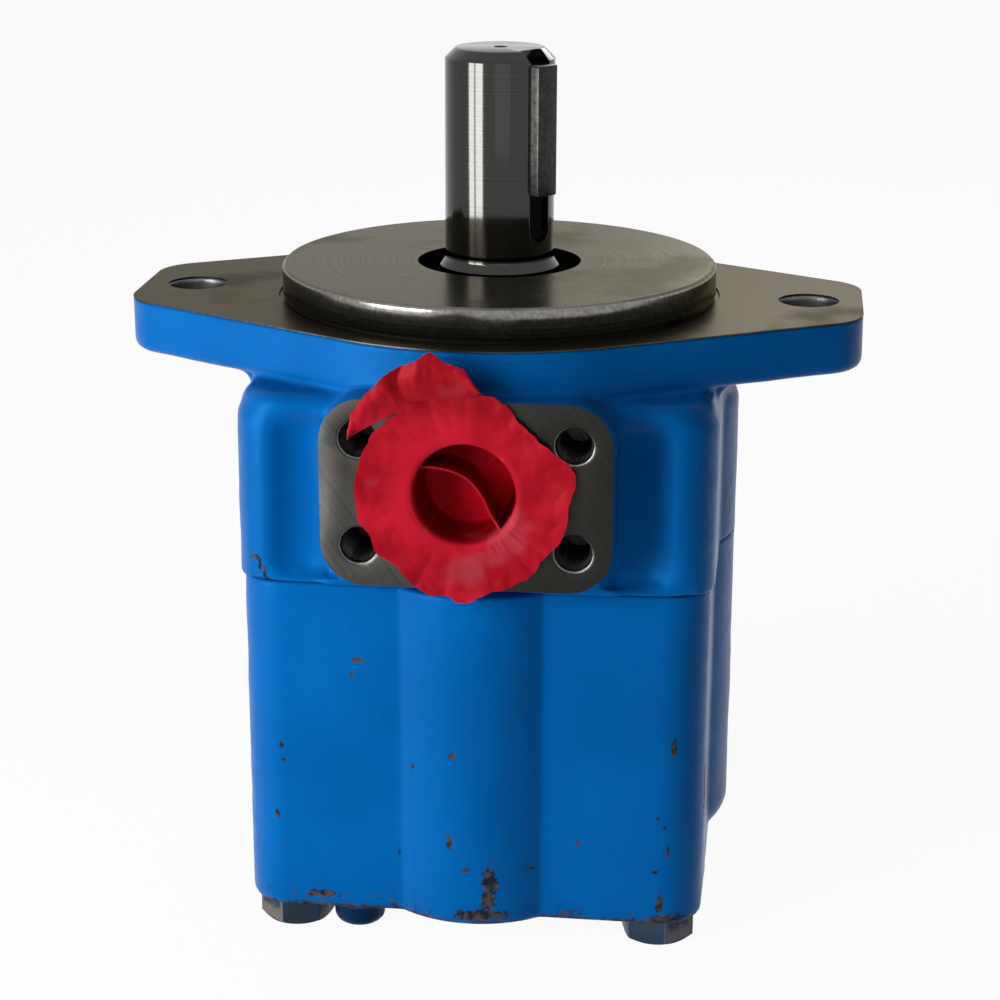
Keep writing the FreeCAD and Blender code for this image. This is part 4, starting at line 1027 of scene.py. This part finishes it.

# %% [markdown]
# ## The red port cover
#
# The outlet is closed by a thin moulded cap: a cup that plugs the bore, with an S-shaped rib inside to pull
# it by, and round it a skirt as thin as film. Somebody has torn that skirt. Its edge is ragged, it lifts off
# the pad in shallow waves, and one flap stands up in front of the flange. Soft plastic has a broad satin
# sheen and turns paler where it was bent. Its red is painted darker towards the top and on the cup's inner
# wall, as painted shade, and the cup's floor is a full red.

# %% Red plastic
def red_plastic():
    recipe = new_recipe("red_film")
    cloud = recipe.noise(70, 3)
    fine = recipe.noise(420, 3, 0.6)
    x, y, z = recipe.place.parts()
    red = recipe.mix(cloud.rise(0.35, 0.65), (0.27, 0.003, 0.010), (0.4, 0.007, 0.020))
    # Painted shade: the skirt and flap are painted a darker red towards the top.
    red = recipe.mix(z.rise(-20 * mm, -12 * mm) * 0.7, red, (0.2, 0.003, 0.006))
    # Painted shade: the cup's inner wall is painted a deep dark red, and its floor goes back to a full red.
    red = recipe.mix(y.rise(-78 * mm, -74 * mm), red, (0.17, 0.0006, 0.003))
    red = recipe.mix(y.rise(-66 * mm, -63.8 * mm), red, (0.4, 0.001, 0.009))
    pale = recipe.outer_edges((fine - 0.5) * 0.08, 0.56, 0.68) * 0.3
    red = recipe.mix(pale, red, (0.5, 0.04, 0.07))
    smear = recipe.noise(60, 2).rise(0.58, 0.72) * 0.22
    red = recipe.mix(smear, red, (0.35, 0.1, 0.14))
    normal = recipe.bump(cloud * 1.4 + fine * 0.25, 0.2 * mm, 0.5)
    return recipe.surface(Base_Color=red, Roughness=0.38 + fine * 0.14, Normal=normal,
                          Specular_IOR_Level=0.25, Specular_Tint=(1.0, 0.12, 0.14))


red_film = red_plastic()
print("red plastic made")

# %% [markdown]
# The skirt and the cup are one moulding, so one grid of rings makes both: from the middle of the cup's floor,
# up its wall, over the round lip and out to the torn edge. The torn edge is a list of points that was read
# off the photograph, as seen from the front, and a little noise frays it between them.

# %% The torn edge
cup_middle = (-0.3, -38.4)
torn_edge = [
    (-27.0, -25.5), (-18.8, -16.3), (-16.3, -13.7), (-10.5, -11.6), (-3.4, -10.8), (4.0, -10.2), (8.1, -10.4),
    (11.6, -12.8), (14.0, -16.3), (19.7, -22.1), (25.4, -26.6), (29.6, -30.7), (30.2, -33.1), (28.1, -40.0),
    (27.4, -47.3), (20.7, -56.1), (19.4, -59.3), (12.9, -63.4), (5.8, -66.0), (1.7, -68.4), (-2.5, -68.6),
    (-4.2, -66.9), (-10.7, -66.1), (-15.7, -62.6), (-18.4, -59.0), (-23.9, -55.5), (-25.7, -50.7),
    (-29.2, -46.5), (-29.6, -34.9),
]


def round_cup(x, z):
    """The direction and the distance of a point from the cup's middle."""
    x, z = x - cup_middle[0], z - cup_middle[1]
    return math.atan2(z, x), math.hypot(x, z)


polar_edge = sorted(round_cup(x, z) for x, z in torn_edge)
(first_turn, first_reach), (last_turn, last_reach) = polar_edge[0], polar_edge[-1]
polar_edge = [(last_turn - math.tau, last_reach), *polar_edge, (first_turn + math.tau, first_reach)]


def edge_radius(turn):
    """How far the torn edge is from the cup's middle in that direction."""
    for (a, low), (b, high) in zip(polar_edge, polar_edge[1:]):
        if a <= turn <= b:
            return low + (high - low) * (turn - a) / (b - a)


print("torn edge:", len(torn_edge), "points")

# %% [markdown]
# Along one radial line the moulding has four parts, each with a rule of its own. Only the last, the thin
# skirt, is creased and lifted by noise.

# %% One point of the moulding
lip_radius, lip_round, cup_floor, skirt_level = 14.3, 1.2, -63.5, -78.85
floor_part, wall_part, lip_part, skirt_part = 0.2, 0.3, 0.08, 0.42
wall_end = floor_part + wall_part
lip_end = wall_end + lip_part


def wave_at(x, z, size, depth, seed):
    return depth * noise.noise(Vector((x / size, z / size, seed)))


def pleats_at(across, upward, folds, depth, seed):
    """Creases that run outward from the cup; across and upward are a direction's two parts."""
    return abs(wave_at(across * folds, upward * folds, 1, depth, seed))


def skirt_point(turn, step):
    """One point of the moulding: step runs from 0 at the floor's middle to 1 at the torn edge."""
    across, upward = math.cos(turn), math.sin(turn)
    if step <= floor_part:
        radius = step / floor_part * (lip_radius - 2.2)
        level = cup_floor - 0.5 * (step / floor_part) ** 6
    elif step <= wall_end:
        share = (step - floor_part) / wall_part
        radius = lip_radius - 2.2 + 2.0 * math.sin(share * math.pi / 2) ** 0.6
        level = cup_floor - 0.5 + (skirt_level + lip_round - cup_floor + 0.5) * share
    elif step <= lip_end:
        share = (step - wall_end) / lip_part * math.pi / 2
        radius = lip_radius - 0.2 + lip_round * (1 - math.cos(share))
        level = skirt_level + lip_round - lip_round * math.sin(share)
    else:
        share = (step - lip_end) / skirt_part
        start = lip_radius + 1.0
        fray = [wave_at(across * 9, upward * 9, *kind) for kind in ((1.1, 0.5, 3.1), (0.35, 0.28, 8.2))]
        radius = start + (edge_radius(turn) + (fray[0] + fray[1]) - start) * share
        x, z = cup_middle[0] + radius * across, cup_middle[1] + radius * upward
        lift = 0.25 + 0.9 * share ** 2
        level = skirt_level - 0.05 - lift * (0.45 + wave_at(x, z, 9, 0.9, 1.7))
        level -= abs(wave_at(x, z, 3.4, 0.35, 5.5)) * share
        pleats = pleats_at(across, upward, 5.2, 1.0, 7.7) + pleats_at(across, upward, 2.3, 0.9, 4.2)
        level -= pleats * share ** 1.5 * 0.9
        crumple = math.exp(-((x - 10) ** 2 + (z + 50) ** 2) / 30)
        level -= crumple * pleats_at(across, upward, 11, 0.9, 9.3)
        level = min(level, skirt_level + 0.3)
    return ((cup_middle[0] + radius * across) * mm, level * mm, (cup_middle[1] + radius * upward) * mm)


print("lip at", [round(c / mm, 1) for c in skirt_point(0, lip_end)])

# %% [markdown]
# The points become one sheet without thickness, whose area is measured before it is thickened to both sides.

# %% Cup and torn skirt
def make_skirt(sides=300):
    steps = [0.03, 0.08, 0.13, 0.17, 0.19, floor_part]
    parts = ((floor_part, wall_part, 12), (wall_end, lip_part, 6), (lip_end, skirt_part, 30))
    for start, part, count in parts:
        steps += [start + part * i / count for i in range(1, count + 1)]
    corners = [(cup_middle[0] * mm, cup_floor * mm, cup_middle[1] * mm)]
    for step in steps:
        corners += [skirt_point(-math.pi + math.tau * side / sides, step) for side in range(sides)]
    faces = [(0, 1 + side, 1 + (side + 1) % sides) for side in range(sides)]
    faces += [(1 + a, 1 + d, 1 + c, 1 + b) for a, b, c, d in grid_faces(len(steps) - 1, sides, closed=True)]
    return crisp(piece_from("port_cover_skirt", corners, faces, red_film), 60)


def thickened(piece, amount):
    skin = piece.modifiers.new("thickness", "SOLIDIFY")
    skin.thickness = amount * mm
    skin.offset = 0
    return crisp(bake(piece), 50)


def one_side_area(piece):
    return sum(face.area for face in piece.data.polygons)


skirt = make_skirt()
skirt_area = one_side_area(skirt)
thickened(skirt, 0.35)
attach(skirt, "pump_body")
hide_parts("port_film")
print("skirt:", len(skirt.data.polygons), "faces,", round(skirt_area * 1e4, 1), "square centimetres")

# %% [markdown]
# The S-shaped rib stands on the cup's floor and ends against its wall. A smooth curve through a few points
# gives its middle line, and the line is pushed along the bore and given a thickness.

# %% The rib to pull by
rib_line = [(-13.0, -31.6), (-8.4, -31.7), (-3.9, -32.6), (0.6, -34.8), (4.2, -39.2), (6.6, -44.2),
            (9.3, -48.6)]
rib_top = -76.6


def smooth_line(points, per_span=10):
    """A curve through the points: each span bends so that it meets the next one straight."""
    line = []
    points = [Vector(point) for point in points]
    for i in range(len(points) - 1):
        before, start, end, after = (points[min(max(j, 0), len(points) - 1)] for j in range(i - 1, i + 3))
        bend = 2 * before - 5 * start + 4 * end - after
        swing = 3 * start - before - 3 * end + after
        for t in (j / per_span for j in range(per_span)):
            line.append(0.5 * (2 * start + (end - before) * t + bend * t ** 2 + swing * t ** 3))
    return line + points[-1:]


def make_rib(rows=14):
    line = smooth_line(rib_line)
    corners = []
    for row in range(rows + 1):
        level = cup_floor + (rib_top - cup_floor) * row / rows
        corners += [(p.x * mm, level * mm, p.y * mm) for p in line]
    return thickened(piece_from("port_cover_rib", corners, grid_faces(rows, len(line)), red_film), 0.7)


rib = make_rib()
bevelled(rib, 0.18)
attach(rib, "pump_body")
print("rib:", len(rib.data.polygons), "faces")

# %% [markdown]
# The torn flap hangs on the skirt along its upper left and stands up in front of the flange. It is lofted
# between two lines: the crease below and the torn rim above. Sharp little folds come from a noise whose
# absolute value is taken, because that leaves creases where the noise changes sign.

# %% The torn flap
flap_crease = [(-31.4, -23.1), (-24.1, -18.6), (-17.8, -15.2), (-15.6, -13.4), (-10.5, -12.0),
               (-3.8, -11.4), (1.5, -10.9), (4.8, -9.4)]
flap_rim = [(-31.4, -23.1), (-30.2, -15.4), (-25.0, -8.9), (-19.4, -3.6), (-12.6, -0.6), (-9.1, 2.1),
            (-4.6, -1.4), (0.2, -3.0), (4.8, -9.4)]


def along(points, share):
    """The point at that share of the line's corners, counted evenly."""
    place = share * (len(points) - 1)
    i = min(int(place), len(points) - 2)
    return Vector(points[i]).lerp(Vector(points[i + 1]), place - i)


def make_flap(columns=120, rows=36):
    corners = []
    for row in range(rows + 1):
        height = row / rows
        for column in range(columns + 1):
            share = column / columns
            low, high = along(flap_crease, share), along(flap_rim, share)
            fray = wave_at(share * 60, 0.4, 1.2, 0.55, 2.2) * height ** 3
            p = low.lerp(high, height) + (high - low).normalized() * fray
            fold = abs(wave_at(p.x, p.y, 8.5, 3.4, 4.4)) + abs(wave_at(p.x, p.y, 3.1, 0.45, 6.6))
            lean = 1.1 * math.sin(height * math.pi * 0.6)
            level = skirt_level - 0.9 - lean - fold * min(1, 0.3 + height)
            corners.append((p.x * mm, level * mm, p.y * mm))
    return crisp(piece_from("port_cover_flap", corners, grid_faces(rows, columns + 1), red_film), 60)


flap = make_flap()
flap_area = one_side_area(flap)
thickened(flap, 0.3)
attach(flap, "pump_body")
print("flap:", len(flap.data.polygons), "faces,", round(flap_area * 1e4, 1), "square centimetres")

# %% [markdown]
# ## Finishes for the frame's own solids
#
# Most of the inner pieces have the right shape already, down to the springs and vanes, so they stay as they
# are and only get a finish by the material slot that the record gives them.

# %% Dress the solids that stay
finishes = dict(
    blue_paint=housing_enamel, screw_steel=screw_black, ground_steel=ground_shaft, key_steel=key_steel,
    hard_steel=hard_steel, bearing_steel=bearing_steel, pressed_steel=pressed_steel, plate_iron=plate_iron,
    spring_steel=spring_steel, seal_rubber=seal_rubber, backup_plastic=backup_plastic,
    bush_bronze=bush_bronze, red_film=red_film,
)
slots = {part["node"]: part["material_slot"] for part in frame["record"]["subparts"]}
for name, node in frame["nodes"].items():
    node.data.materials.clear()
    node.data.materials.append(finishes[slots[name]])
print("dressed", len(slots), "solids")
